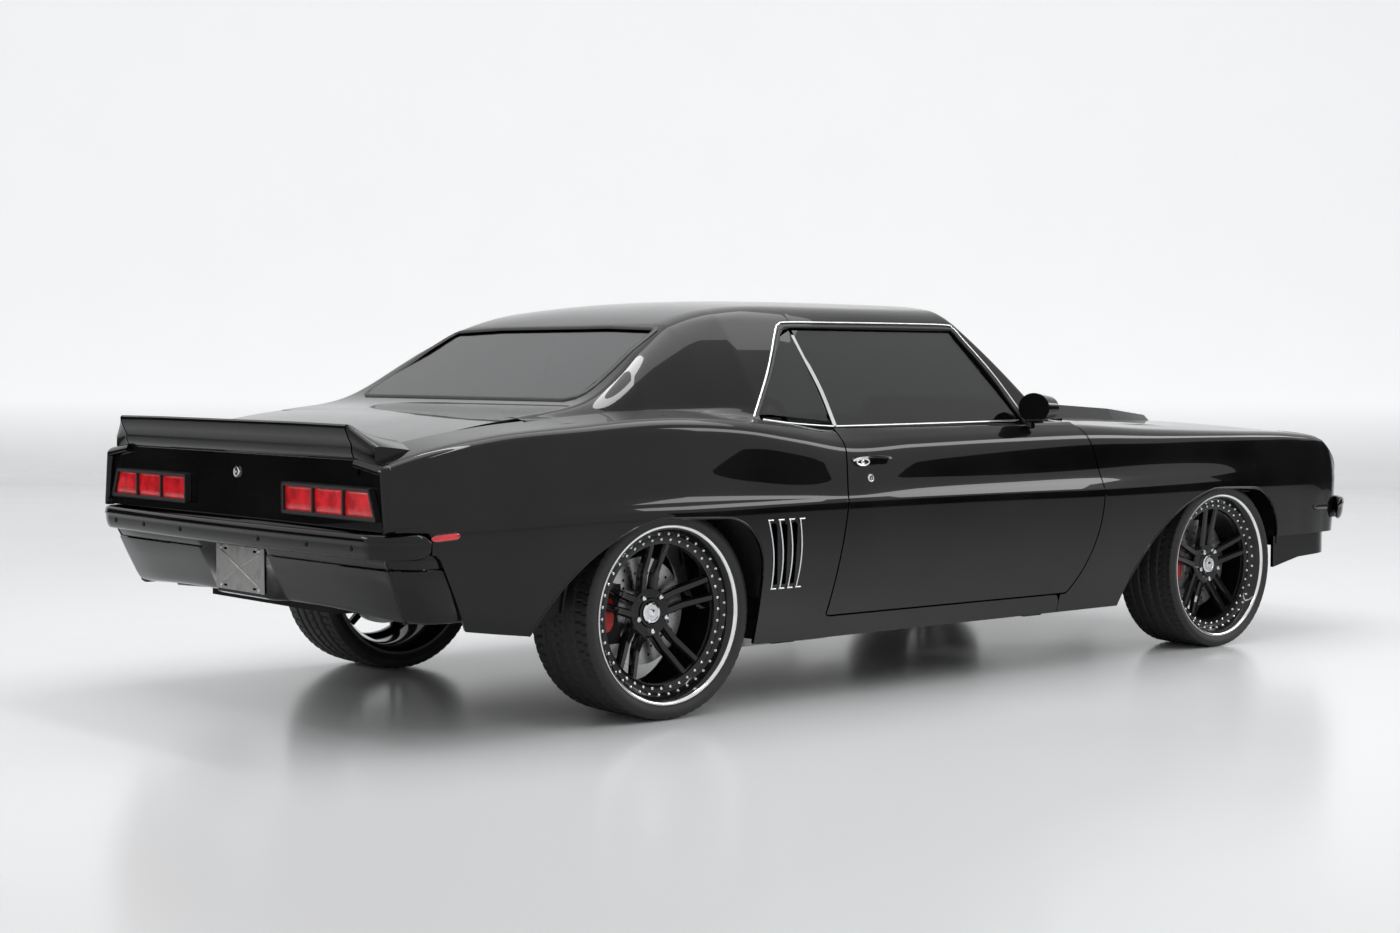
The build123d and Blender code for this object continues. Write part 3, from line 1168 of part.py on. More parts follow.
WHEELS = [
    ("front", FRONT_RIM_FACE_X, FRONT_RIM_WIDTH, FRONT_DISH, FRONT_WHEEL, FRONT_DISC_X),
    ("rear", REAR_RIM_FACE_X, REAR_RIM_WIDTH, REAR_DISH, REAR_WHEEL, REAR_DISC_X),
]
for axle, face_x, width, dish, (centre_y, centre_z), disc_x in WHEELS:
    pieces = {
        "rim": Pos(face_x, centre_y, centre_z) * rim(width, dish),
        "tyre": Pos(face_x, centre_y, centre_z) * tyre(width, centre_z),
        "disc": Pos(disc_x, centre_y, centre_z) * disc.part,
    }
    for name, piece in pieces.items():
        for side, placed in (("left", piece), ("right", mirror(piece, about=Plane.YZ))):
            placed.label = f"{name}_{axle}_{side}"
            export_step(placed, f"parts/{placed.label}.step")

with BuildPart() as knuckle:
    with Locations((KINGPIN_X, FRONT_AXLE_Y, (ARM_Z + 18 + SEAT_GAP + 430) / 2)):
        Cylinder(15, 430 - ARM_Z - 18 - SEAT_GAP)
    with BuildSketch(Plane.YZ.offset(FRONT_DISC_X)):
        with Locations(FRONT_WHEEL):
            Circle(DISC_R + 22)
            Circle(DISC_R - 62, mode=Mode.SUBTRACT)
        with Locations((FRONT_AXLE_Y - 60, FRONT_WHEEL[1])):
            Rectangle(300, 600, mode=Mode.SUBTRACT)
        with Locations((FRONT_AXLE_Y, FRONT_WHEEL[1] + 170), (FRONT_AXLE_Y, FRONT_WHEEL[1] - 170)):
            Rectangle(500, 160, mode=Mode.SUBTRACT)
    extrude(amount=CALIPER_HALF, both=True)
    with Locations((FRONT_DISC_X, FRONT_AXLE_Y, FRONT_WHEEL[1])):
        Cylinder(DISC_R + 6, DISC_T + 12, rotation=(0, 90, 0), mode=Mode.SUBTRACT)
    with Locations((FRONT_DISC_X - CALIPER_HALF + 6, FRONT_AXLE_Y + 70, FRONT_WHEEL[1])):
        Box(12, 120, 80)
    with Locations((FRONT_DISC_X - 34, FRONT_AXLE_Y + 18, FRONT_WHEEL[1])):
        Box(40, 36, 40)
    with Locations(((KINGPIN_X + FRONT_DISC_X - DISC_T / 2 - RUNNING_GAP) / 2, FRONT_AXLE_Y, FRONT_WHEEL[1])):
        Cylinder(28, FRONT_DISC_X - DISC_T / 2 - RUNNING_GAP - KINGPIN_X, rotation=(0, 90, 0))
for side, placed in (("left", knuckle.part), ("right", mirror(knuckle.part, about=Plane.YZ))):
    placed.label = f"knuckle_{side}"
    export_step(placed, f"parts/knuckle_{side}.step")
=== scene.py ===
import bpy
import math
import numpy as np
from mathutils import Matrix, Vector


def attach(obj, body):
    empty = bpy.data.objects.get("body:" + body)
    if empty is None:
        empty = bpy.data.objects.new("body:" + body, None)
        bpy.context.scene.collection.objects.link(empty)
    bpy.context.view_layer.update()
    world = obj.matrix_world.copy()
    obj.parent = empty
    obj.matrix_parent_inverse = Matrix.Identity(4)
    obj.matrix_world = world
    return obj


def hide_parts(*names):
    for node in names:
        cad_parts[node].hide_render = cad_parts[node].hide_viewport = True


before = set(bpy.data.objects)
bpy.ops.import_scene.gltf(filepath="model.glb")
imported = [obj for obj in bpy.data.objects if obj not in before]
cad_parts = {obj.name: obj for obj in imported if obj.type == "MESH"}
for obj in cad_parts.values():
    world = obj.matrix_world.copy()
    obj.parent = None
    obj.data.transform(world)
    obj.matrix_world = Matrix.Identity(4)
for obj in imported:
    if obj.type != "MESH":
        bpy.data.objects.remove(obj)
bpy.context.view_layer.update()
print("frame loaded,", len(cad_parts), "nodes")


class Socket:  # one output socket; the operators add Math nodes
    def __init__(self, nodes, link):
        self.nodes, self.link = nodes, link

    def maths(self, operation, *values):
        return self.nodes.node("ShaderNodeMath", {"operation": operation}, dict(enumerate(values)))

    def __add__(self, other): return self.maths("ADD", self, other)
    def __radd__(self, other): return self.maths("ADD", other, self)
    def __sub__(self, other): return self.maths("SUBTRACT", self, other)
    def __rsub__(self, other): return self.maths("SUBTRACT", other, self)
    def __mul__(self, other): return self.maths("MULTIPLY", self, other)
    def __rmul__(self, other): return self.maths("MULTIPLY", other, self)


class Nodes:  # the node tree of a material or of the world
    def __init__(self, holder):
        holder.use_nodes = True
        self.tree = holder.node_tree
        self.tree.nodes.clear()

    def node(self, kind, settings=None, values=None, out=0):
        made = self.tree.nodes.new(kind)
        for key, value in (settings or {}).items():
            setattr(made, key, value)
        for key, value in (values or {}).items():
            if isinstance(value, Socket):
                self.tree.links.new(value.link, made.inputs[key])
            else:
                made.inputs[key].default_value = value
        return Socket(self, made.outputs[out])


class Finish(Nodes):  # one material
    def __init__(self, name):
        self.material = bpy.data.materials.new(name)
        super().__init__(self.material)
        self.place = self.node("ShaderNodeTexCoord", out="Object")

    def noise(self, scale, detail=3.0, stretch=None):
        where = self.place
        if stretch:
            where = self.node("ShaderNodeMapping", None, {"Vector": where, "Scale": stretch})
        return self.node("ShaderNodeTexNoise", None, {"Vector": where, "Scale": scale, "Detail": detail})

    def cells(self, scale):
        return self.node("ShaderNodeTexVoronoi", None, {"Vector": self.place, "Scale": scale})

    def between(self, value, low, high):
        return self.node("ShaderNodeMapRange", None, dict(enumerate((value, low, high, 0.0, 1.0))))

    def blend(self, factor, first, second):
        first, second = (c if isinstance(c, Socket) else (*c, 1.0) for c in (first, second))
        return self.node("ShaderNodeMix", {"data_type": "RGBA"}, {0: factor, 6: first, 7: second}, out=2)

    def bump(self, height, strength, distance):
        values = {"Height": height, "Strength": strength, "Distance": distance}
        return self.node("ShaderNodeBump", None, values)

    def close(self, **values):
        named = {key.replace("_", " "): value for key, value in values.items()}
        shader = self.node("ShaderNodeBsdfPrincipled", None, named)
        self.tree.links.new(shader.link, self.tree.nodes.new("ShaderNodeOutputMaterial").inputs["Surface"])
        return self.material


def paint(name, colour, rough, coat, peel=0.00012):
    # enamel: a faint orange peel of 5 mm cells, a haze of fine dust and a clear coat
    f = Finish(name)
    haze = f.between(f.noise(3.0, 6.0), 0.35, 0.75)
    dust = f.between(f.noise(260.0, 2.0), 0.62, 0.72)
    tone = f.blend(haze * 0.35 + dust * 0.12, colour, tuple(c + 0.012 for c in colour))
    return f.close(Base_Color=tone, Roughness=rough + haze * 0.06 + dust * 0.1, IOR=1.4,
                   Specular_IOR_Level=0.05, Coat_Weight=coat, Coat_IOR=1.45, Coat_Roughness=0.015,
                   Normal=f.bump(f.noise(190.0, 1.0), 0.35, peel))


def metal(name, colour, rough, stretch=(1.0, 1.0, 1.0), scratch=0.15, grime=0.0, wear=0.0001):
    # bright or dull metal: brushing stretched along one axis, clouded tone, grime in patches
    f = Finish(name)
    cloud = f.noise(14.0, 5.0)
    lines = f.noise(160.0, 3.0, stretch)
    patch = f.between(f.noise(22.0, 8.0), 0.52, 0.68)
    shade = f.blend(f.between(cloud, 0.3, 0.7), colour, tuple(c * 0.82 for c in colour))
    tone = f.blend(patch * grime, shade, (0.05, 0.04, 0.032))
    return f.close(Base_Color=tone, Metallic=1.0 - patch * grime * 0.7,
                   Roughness=rough + (lines - 0.5) * scratch + patch * grime * 0.35,
                   Normal=f.bump(lines, 0.4, wear))


def moulded(name, colour, rough, grain=900.0, depth=0.0002):
    # moulded plastic or rubber: fine pebbled grain, paler where it is rubbed
    f = Finish(name)
    rub = f.between(f.noise(7.0, 5.0), 0.45, 0.75)
    tone = f.blend(rub * 0.5, colour, tuple(c * 1.5 + 0.004 for c in colour))
    return f.close(Base_Color=tone, Roughness=rough + rub * 0.12, Normal=f.bump(f.cells(grain), 0.35, depth))


def glazing(name, tint):
    # tinted pane with faint wiping marks
    f = Finish(name)
    wipe = f.between(f.noise(5.0, 4.0, (1.0, 3.0, 0.6)), 0.5, 0.8)
    return f.close(Base_Color=f.blend(wipe * 0.3, tint, tuple(c * 0.9 for c in tint)),
                   Roughness=wipe * 0.05, IOR=1.5, Transmission_Weight=1.0)


def hide(name, colour):
    # leather: creased cells of 3 mm, rubbed brighter on the high parts
    f = Finish(name)
    cell = f.cells(330.0)
    fold = f.noise(30.0, 6.0)
    tone = f.blend(f.between(fold, 0.35, 0.7) * 0.6, colour, tuple(c * 2.0 + 0.006 for c in colour))
    return f.close(Base_Color=tone, Roughness=0.42 + f.between(cell, 0.0, 0.7) * 0.18,
                   Normal=f.bump(cell * 0.7 + fold * 0.8, 0.5, 0.0008))


def lens(name, colour, glow):
    # moulded lens: brighter towards the middle of each 40 mm cloud, clear-coated
    f = Finish(name)
    cloud = f.between(f.noise(24.0, 2.0), 0.35, 0.65)
    tone = f.blend(cloud, tuple(c * 0.55 for c in colour), colour)
    return f.close(Base_Color=tone, Roughness=0.12 + cloud * 0.06, IOR=1.49, Coat_Weight=0.8,
                   Coat_Roughness=0.03, Emission_Color=tone, Emission_Strength=glow)


finishes = {  # the slot of each finish and its material; the first one of a slot goes on the CAD nodes
    "bodyPaint": ("body_paint", paint("gloss_black_paint", (0.002, 0.002, 0.0023), 0.18, 0.68)),
    "bumperPaint": ("bumper_paint", paint("satin_black_paint", (0.012, 0.012, 0.013), 0.42, 0.25)),
    "wheelPaint": ("wheel_paint", paint("black_wheel_enamel", (0.006, 0.006, 0.006), 0.22, 0.9)),
    "chassisPaint": ("chassis_paint", paint("underside_paint", (0.018, 0.018, 0.019), 0.55, 0.0, 0.0006)),
    "caliperPaint": ("wheel_paint", paint("red_caliper_enamel", (0.42, 0.012, 0.01), 0.3, 0.6)),
    "tintedGlass": ("tinted_glass", glazing("tinted_glass", (0.09, 0.1, 0.1))),
    "lampGlass": ("lamp_glass", glazing("lamp_glass", (0.85, 0.87, 0.88))),
    "trim": ("black_trim", moulded("black_trim", (0.012, 0.012, 0.012), 0.45)),
    "rubber": ("tyre", moulded("tyre_rubber", (0.014, 0.014, 0.014), 0.62, 500.0, 0.0004)),
    "steel": ("bare_steel", metal("bare_steel", (0.55, 0.54, 0.53), 0.34, (1.0, 14.0, 14.0), 0.25, 0.35)),
    "iron": ("engine_iron", metal("engine_iron", (0.16, 0.16, 0.17), 0.5, grime=0.7)),
    "knuckleIron": ("knuckle_iron", metal("knuckle_iron", (0.2, 0.19, 0.19), 0.52, grime=0.6)),
    "discIron": ("disc_iron", metal("disc_iron", (0.5, 0.5, 0.51), 0.3, (14.0, 1.0, 1.0), 0.2, 0.15)),
    "chrome": ("chrome", metal("bright_chrome", (0.82, 0.83, 0.85), 0.09, scratch=0.06, grime=0.05)),
    "leather": ("seat_leather", hide("black_leather", (0.014, 0.013, 0.013))),
    "polished": ("chrome", metal("polished_lip", (0.86, 0.86, 0.87), 0.13, scratch=0.08, grime=0.04,
                                 wear=0.00003)),
    "redLens": ("lamp_glass", lens("red_lens", (0.7, 0.012, 0.02), 0.22)),
    "amberLens": ("lamp_glass", lens("smoked_lens", (0.03, 0.02, 0.016), 0.0)),
    # painted shade: a near-black finish for the flat discs laid where the brake discs' drilled holes are
    "paintedHoleShade": ("disc_iron", metal("drilled_hole_painted_shade", (0.02, 0.02, 0.02), 0.6, grime=0.3)),
}
nodeFinish = {}
for slot, material in finishes.values():
    nodeFinish.setdefault(slot, material)
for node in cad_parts.values():
    for holder in node.material_slots:
        material = nodeFinish[holder.material.name.split(".")[0]]
        holder.link = "OBJECT"
        holder.material = material
print("finishes set on the CAD nodes")


# a shape is its points and a list of arrays, each of the corners of faces with as many sides
def gridShape(points, wrapRows=False, wrapColumns=False, caps=False):
    # quads over rows and columns of points; caps close both ends of the rows
    rows, columns = points.shape[:2]
    index = np.arange(rows * columns).reshape(rows, columns)
    faces = [index[:1, ::-1], index[-1:, :]] if caps else []
    if wrapRows:
        index = np.vstack((index, index[:1]))
    if wrapColumns:
        index = np.hstack((index, index[:, :1]))
    corners = (index[:-1, :-1], index[:-1, 1:], index[1:, 1:], index[1:, :-1])
    return points.reshape(-1, 3), [np.stack(corners, -1).reshape(-1, 4)] + faces


def joined(shapes):
    # many shapes as one, each list of corners moved on by the points before it
    points, faces, start = [], [], 0
    for shapePoints, shapeFaces in shapes:
        points.append(shapePoints)
        faces += [block + start for block in shapeFaces]
        start += len(shapePoints)
    return np.vstack(points), faces


def outward(shape):
    # a closed shape is turned round if its signed volume, the sum of a.(b x c) over its faces, is below zero
    points, faces = shape
    volume = 0.0
    for block in faces:
        a, b, c = points[block[:, 0]], points[block[:, 1]], points[block[:, 2:]]
        for k in range(c.shape[1]):
            volume += np.einsum("ij,ij->", a, np.cross(b, c[:, k]))
            b = c[:, k]
    return points, [block[:, ::-1] if volume < 0 else block for block in faces]


def moved(shape, place):
    return shape[0] + place, shape[1]


def mirrored(shape):
    # x turned to -x, and the faces turned round to point outward again
    points, faces = shape
    return points * (-1, 1, 1), [block[:, ::-1] for block in faces]


def sided(shape, side):
    # a shape made for the left side, or its mirror image
    return shape if side == "left" else mirrored(shape)


def bothSides(shape):
    return joined([shape, mirrored(shape)])


def facingRear(shape):
    # a shape turned about X is laid about Y, its outer end rearward
    return outward((shape[0][:, [1, 0, 2]], shape[1]))


def newObject(name, data):
    made = bpy.data.objects.new(name, data)
    bpy.context.scene.collection.objects.link(made)
    return made


def newMesh(name, shape, material):
    points, faces = shape
    mesh = bpy.data.meshes.new(name)
    mesh.from_pydata(points.tolist(), [], [face for block in faces for face in block.tolist()])
    mesh.validate()
    mesh.materials.append(material)
    return mesh


def makePiece(name, shape, finish, body="car_body", sharp=50, nodesStoodFor=()):
    slot, material = finishes[finish]
    mesh = newMesh(name, shape, material)
    mesh.shade_smooth()
    mesh.set_sharp_from_angle(angle=math.radians(sharp))
    made = newObject(name, mesh)
    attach(made, body)
    if nodesStoodFor:
        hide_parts(*nodesStoodFor)
    return made


def lathe(profile, steps, centre=(0, 0, 0)):
    # a profile of (x, radius) turned about the X axis through the centre
    x, radius = np.asarray(profile, float).T
    turn = np.linspace(0, 2 * math.pi, steps, endpoint=False)[:, None]
    points = np.stack((x + 0 * turn, radius * np.cos(turn), radius * np.sin(turn)), -1) + centre
    return gridShape(points, wrapRows=True, wrapColumns=True)


def swept(path, section, up=(0, 0, 1), scale=None, closed=False):
    # a section of (across, up) carried along a path; across is the tangent x up
    path, section = np.asarray(path, float), np.asarray(section, float)
    tangent = np.roll(path, -1, 0) - np.roll(path, 1, 0) if closed else np.gradient(path, axis=0)
    tangent /= np.linalg.norm(tangent, axis=1, keepdims=True)
    across = np.cross(tangent, np.broadcast_to(up, tangent.shape))
    across /= np.linalg.norm(across, axis=1, keepdims=True)
    rise = np.cross(across, tangent)
    scale = np.ones(len(path)) if scale is None else np.asarray(scale, float)
    points = path[:, None] + scale[:, None, None] * (
        section[None, :, :1] * across[:, None] + section[None, :, 1:] * rise[:, None])
    return outward(gridShape(points, wrapRows=closed, wrapColumns=True, caps=not closed))


def ringSection(radius, sides=8):
    # corners of a circle: the radius times (cosine, sine) of equal turns
    turn = np.linspace(0, 2 * math.pi, sides, endpoint=False)
    return np.stack((np.cos(turn), np.sin(turn)), 1) * radius


def smoothPath(corners, count):
    # a Catmull-Rom curve through the corners, two corners on either side shaping each part
    corners = np.asarray(corners, float)
    ends = np.vstack((2 * corners[0] - corners[1], corners, 2 * corners[-1] - corners[-2]))
    where = np.linspace(0, len(corners) - 1 - 1e-9, count)
    k = where.astype(int)
    t = (where - k)[:, None]
    a, b, c, d = ends[k], ends[k + 1], ends[k + 2], ends[k + 3]
    return 0.5 * (2 * b + (c - a) * t + (2 * a - 5 * b + 4 * c - d) * t**2 + (3 * b - 3 * c + d - a) * t**3)


def tube(corners, radius, count=40):
    # a round bead through corners in millimetres
    return swept(smoothPath(corners, count) / 1000, ringSection(radius / 1000))


def loopPath(corners, steps):
    # points at equal steps along each side of a closed outline
    corners = np.asarray(corners, float)
    ahead = np.roll(corners, -1, 0) - corners
    share = np.linspace(0, 1, steps + 1)[:-1, None]
    return (corners[:, None] + ahead[:, None] * share).reshape(-1, corners.shape[1])


def evenly(corners, count):
    # points at equal steps along a polyline
    corners = np.asarray(corners, float)
    run = np.concatenate(([0], np.cumsum(np.linalg.norm(np.diff(corners, axis=0), axis=1))))
    return np.stack([np.interp(np.linspace(0, run[-1], count), run, corners[:, k]) for k in range(3)], 1)


def repeated(shape, places, turns=None):
    # copies of a shape at places, turned about X by turns
    points, faces = shape
    copies = []
    for place, turn in zip(places, np.zeros(len(places)) if turns is None else turns):
        c, s = math.cos(turn), math.sin(turn)
        copies.append((points @ np.array([[1, 0, 0], [0, c, s], [0, -s, c]]) + place, faces))
    return joined(copies)


def roundBox(low, high, radius):
    # a box with rounded edges along X and chamfered ends: a rounded outline carried along X
    low, high = np.asarray(low, float), np.asarray(high, float)
    middle, span = (low[1:] + high[1:]) / 2, (high[1:] - low[1:]) / 2
    arcs = []
    for k, corner in enumerate(((1, 1), (-1, 1), (-1, -1), (1, -1))):
        angle = np.linspace(0, math.pi / 2, 4) + k * math.pi / 2
        arcs.append(np.array(corner) * (span - radius) + radius * np.stack((np.cos(angle), np.sin(angle)), 1))
    outline = np.vstack(arcs)
    x = np.array([low[0], low[0] + radius * 0.5, high[0] - radius * 0.5, high[0]])
    inset = np.array([radius * 0.4, 0, 0, radius * 0.4])
    flat = middle + outline * (1 - inset[:, None] / span)[:, None]
    points = np.concatenate((np.broadcast_to(x[:, None, None], (4, len(outline), 1)), flat), -1)
    return outward(gridShape(points, wrapColumns=True, caps=True))


# wheels
wheel = {
    "spokePairs": 5, "spokeWidth": 0.025, "slotWidth": 0.016, "rivets": 40, "rivetRadius": 0.0052,
    "nuts": 5, "nutCircle": 0.057, "drillRings": (0.098, 0.118, 0.14), "holeShades": 15, "drillRadius": 0.0045,
}
axles = {  # place along Y and up Z, the rim's face, width and dish, and the disc's place along X
    "rear": (1.316, 0.318, 0.868, 0.270, 0.092, 0.7157),
    "front": (-1.427, 0.313, 0.862, 0.235, 0.062, 0.7397),
}
lipProfile = np.array([
    (-12, 272), (-1, 274), (2, 273.2), (3, 271), (3, 268), (1.5, 265), (-0.5, 262.5), (-4, 260.5),
    (-8, 259.5), (-10, 258.2), (-10.6, 255.5), (-12, 253.6), (-16, 252.2), (-26, 249.6), (-27, 251),
    (-16, 258), (-13, 266)])
capProfile = np.array([
    (0, 0.3), (0, 34), (9, 33), (12, 30), (12.5, 26), (10.5, 24.5), (10.5, 12), (12.5, 10), (13.5, 0.3)])
caliperSection = np.array([
    (-30, -36), (-24, -41.5), (-16.5, -41.5), (-16.5, 25.5), (16.5, 25.5), (16.5, -41.5), (24, -41.5),
    (30, -36), (34.5, -12), (34.5, 12), (28, 34), (16, 40.8), (-16, 40.8), (-28, 34), (-34.5, 12),
    (-34.5, -12)])


def rimShape(width, dish):
    # a stepped barrel and a hub turned about X, and chamfered bars in pairs; the lip's plane is x = 0
    end = -width * 1000
    barrel = np.array([
        (-2, 267), (-8, 267.5), (-12, 257), (-34, 255), (-58, 238), (end + 50, 238), (end + 34, 255),
        (end + 10, 257), (end + 8, 267), (end, 267), (end, 258), (end + 14, 248), (end + 54, 229), (-66, 229),
        (-66, 213), (-61, 211), (-44, 211), (-40, 213), (-39, 216), (-39, 236), (-36, 240), (-22, 247),
        (-12, 251), (-4, 258)]) / 1000
    hub = np.array([
        (-28, 0.4), (-28, 72), (-4, 76), (1, 72), (1, 46), (6, 43), (6, 36), (1, 34), (1, 0.4)]) / 1000
    share = np.linspace(0, 1, 12)
    radius = 0.045 + share * 0.1735
    face = np.interp(radius, (0.0, 0.068, 0.12, 0.215), (-dish, -dish, -dish + 0.006, -0.0405))
    half = wheel["spokeWidth"] / 2
    wide = half * (1.12 - 0.25 * share)
    deep = 0.030 - 0.008 * share
    edge, flat = np.full(12, -0.007), np.zeros(12)
    x = face[:, None] + np.stack((-deep, edge, flat, flat, edge, -deep), 1)
    shapes = [lathe(barrel, 96)]
    for pair in range(wheel["spokePairs"]):
        centre = 2 * math.pi * pair / wheel["spokePairs"] + math.pi / 2
        for side in (-1, 1):
            aside = side * (wheel["slotWidth"] / 2 + half + 0.002 + 0.009 * share**2)
            lateral = aside[:, None] + np.stack((-wide, -wide, -wide * 0.62, wide * 0.62, wide, wide), 1)
            y = radius[:, None] * math.cos(centre) - lateral * math.sin(centre)
            z = radius[:, None] * math.sin(centre) + lateral * math.cos(centre)
            shapes.append(outward(gridShape(np.stack((x, y, z), -1), wrapColumns=True, caps=True)))
    return joined(shapes + [lathe(hub - (dish, 0), 48)])


def ringPlaces(x, radius, count, start=0.0):
    # places at equal turns round the X axis, and those turns
    turn = np.arange(count) * 2 * math.pi / count + start
    return np.stack((np.full(count, x), radius * np.cos(turn), radius * np.sin(turn)), 1), turn


def tyreShape(width, radius, sipes=66, perSipe=5, rows=61):
    # the profile, turned about X, runs from bead to bead; rings of grooves and slanted sipes lower the radius
    half = width / 2
    side = np.array([
        (-0.004, 0.262), (0.003, 0.2715), (0.0045, 0.2745), (0.0045, 0.277), (0.007, 0.281), (0.0105, 0.288),
        (0.0112, 0.294), (0.0102, radius - 0.018), (0.0075, radius - 0.0135), (0.0070, radius - 0.0125),
        (0.0066, radius - 0.0118), (0.003, radius - 0.0062), (-0.002, radius - 0.0026)])
    tread = np.linspace(-0.008, -width + 0.008, rows)
    crown = radius - 0.0030 * (np.abs(tread + half) / (half - 0.008)) ** 4
    inner = np.array([
        (-0.004, 0.262), (-0.018, 0.262), (-0.02, 0.27), (-0.008, 0.285), (-0.008, radius - 0.022),
        (-0.02, radius - 0.013)])
    profile = np.vstack((side, np.stack((tread, crown), 1), (side * (-1, 1) + (-width, 0))[::-1],
                         (inner * (-1, 1) + (-width, 0))[1:], inner[::-1][:-1]))
    turn = np.linspace(0, 2 * math.pi, sipes * perSipe, endpoint=False)[:, None]
    x, r = (np.tile(profile[:, k], (len(turn), 1)) for k in (0, 1))
    place = (x + half) / half
    off = np.abs(place)
    onTread = (np.arange(len(profile)) >= len(side)) & (np.arange(len(profile)) < len(side) + rows)
    groove = np.zeros_like(place)
    for middle in (-0.54, -0.19, 0.19, 0.54):
        groove = np.maximum(groove, np.clip(2.6 - np.abs(place - middle) / 0.017, 0, 1))
    slant = np.where(off > 0.62, 0.25 * off, np.sign(place) * 0.9 * off + place * 1.6)
    sipe = (turn / (2 * math.pi) * sipes + slant) % 1.0 < 1.05 / perSipe
    notch = sipe & (np.abs(off - 0.36) > 0.10) & (off > 0.06)
    r -= np.where(onTread, np.maximum(groove * 0.0062, notch * 0.0042), 0)
    r -= np.where((off > 0.96) & (r > radius - 0.012) & ~onTread & sipe, 0.0022, 0)
    return gridShape(np.stack((x, r * np.cos(turn), r * np.sin(turn)), -1), wrapRows=True, wrapColumns=True)


nutShape = lathe([(-0.004, 0.0104), (0.012, 0.0104), (0.016, 0.0085), (0.0185, 0.005), (0.019, 0.0003),
                  (-0.004, 0.0003)], 6)
rivetProfile = np.array([(-0.5, 0.02), (-0.5, 1), (2.2, 0.92), (3.6, 0.55), (2, 0.3), (1.8, 0.02)])
rivetShape = lathe(rivetProfile * (0.001, wheel["rivetRadius"]), 9)
tiltedRivet = (rivetShape[0] @ np.array([[0.45, -0.89, 0], [0.89, 0.45, 0], [0, 0, 1]]), rivetShape[1])
# the drilled holes are not cut: flat dark discs laid on the brake disc's face are painted shade for the depth
# of each hole
holeShadeDisc = lathe([(-0.001, 0.0001), (-0.001, wheel["drillRadius"]), (0.0002, wheel["drillRadius"]),
                    (0.0002, 0.0001)], 9)
holeShades = joined([repeated(holeShadeDisc, ringPlaces(0.0121, radius, wheel["holeShades"], k * 0.14)[0])
                 for k, radius in enumerate(wheel["drillRings"])])
halfPitch = math.pi / wheel["rivets"]
rivets = joined([repeated(rivetShape, *ringPlaces(-0.0385, 0.2265, wheel["rivets"])),
                 repeated(tiltedRivet, *ringPlaces(-0.0275, 0.2435, wheel["rivets"], halfPitch))])
lip = lathe(lipProfile / 1000, 128)
# caliper: a rounded section with a slot for the disc, carried round its edge
share = np.linspace(-1, 1, 15)
turn = 0.47 * share
caliperPath = 0.148 * np.stack((0 * turn, np.cos(turn), np.sin(turn)), 1)
caliper = swept(caliperPath, caliperSection[:, ::-1] / 1000, (1, 0, 0), 1 - 0.22 * np.abs(share) ** 3)
for axle, (axleY, axleZ, faceX, rimWidth, dish, discX) in axles.items():
    rim, tread = rimShape(rimWidth, dish), tyreShape(rimWidth, axleZ)
    nutPlaces = ringPlaces(-dish, wheel["nutCircle"], wheel["nuts"], math.pi / 2 + math.pi / wheel["nuts"])
    nuts = joined([repeated(nutShape, *nutPlaces), lathe(capProfile / 1000 - (dish, 0), 32)])
    for side in ("left", "right"):
        tag, body = f"{axle}_{side}", f"wheel_{axle}_{side}"
        carrier = "car_body" if axle == "rear" else f"{side}_knuckle"
        for name, shape, x, finish, rider, sharp, stoodFor in (
                (f"rim_{tag}_barrel", rim, faceX, "wheelPaint", body, 30, [f"rim_{tag}"]),
                (f"rim_{tag}_lip", lip, faceX, "polished", body, 50, ()),
                (f"rim_{tag}_rivets", rivets, faceX, "chrome", body, 40, ()),
                (f"rim_{tag}_nuts", nuts, faceX, "chrome", body, 25, ()),
                (f"tyre_{tag}_tread", tread, faceX, "rubber", body, 28, [f"tyre_{tag}"]),
                # the dark discs on the brake disc are painted shade standing for its drilled holes
                (f"disc_{tag}_painted_hole_shades", holeShades, discX, "paintedHoleShade", body, 40, ()),
                (f"caliper_{tag}", caliper, discX, "caliperPaint", carrier, 30, ())):
            placed = outward(sided(moved(shape, (x, axleY, axleZ)), side))
            makePiece(name, placed, finish, rider, sharp, stoodFor)
print("wheels made")


# body panels: one smooth skin per side, cut along the panel lines
def along(stations, values, where):
    # cubic Hermite curve through the stations, with slopes from their neighbours
    stations, values = np.asarray(stations, float), np.asarray(values, float)
    shape = (-1,) + (1,) * (values.ndim - 1)
    gaps = np.diff(stations).reshape(shape)
    rise = np.diff(values, axis=0) / gaps
    middle = (rise[:-1] * gaps[1:] + rise[1:] * gaps[:-1]) / (gaps[1:] + gaps[:-1])
    slope = np.concatenate((rise[:1], middle, rise[-1:]))
    k = np.clip(np.searchsorted(stations, where) - 1, 0, len(stations) - 2)
    gap = gaps.reshape(-1)[k].reshape(shape)
    t = ((where - stations[k]).reshape(shape)) / gap
    return (values[k] * (2 * t**3 - 3 * t**2 + 1) + values[k + 1] * (3 * t**2 - 2 * t**3)
            + slope[k] * gap * (t**3 - 2 * t**2 + t) + slope[k + 1] * gap * (t**3 - t**2))


def arcThrough(a, b, c, count=24):
    # the arc from a to c by way of b
    a, b, c = (complex(*p) for p in (a, b, c))
    w = (c - a) / (b - a)
    centre = (b - a) * (w - abs(w) ** 2) / (2j * w.imag) + a
    start, middle, end = (np.angle(p - centre) for p in (a, b, c))
    turn = (end - start) % (2 * math.pi)
    if (middle - start) % (2 * math.pi) > turn:
        turn -= 2 * math.pi
    points = centre + abs(a - centre) * np.exp(1j * (start + turn * np.linspace(0, 1, count)))
    return np.stack((points.real, points.imag), 1)


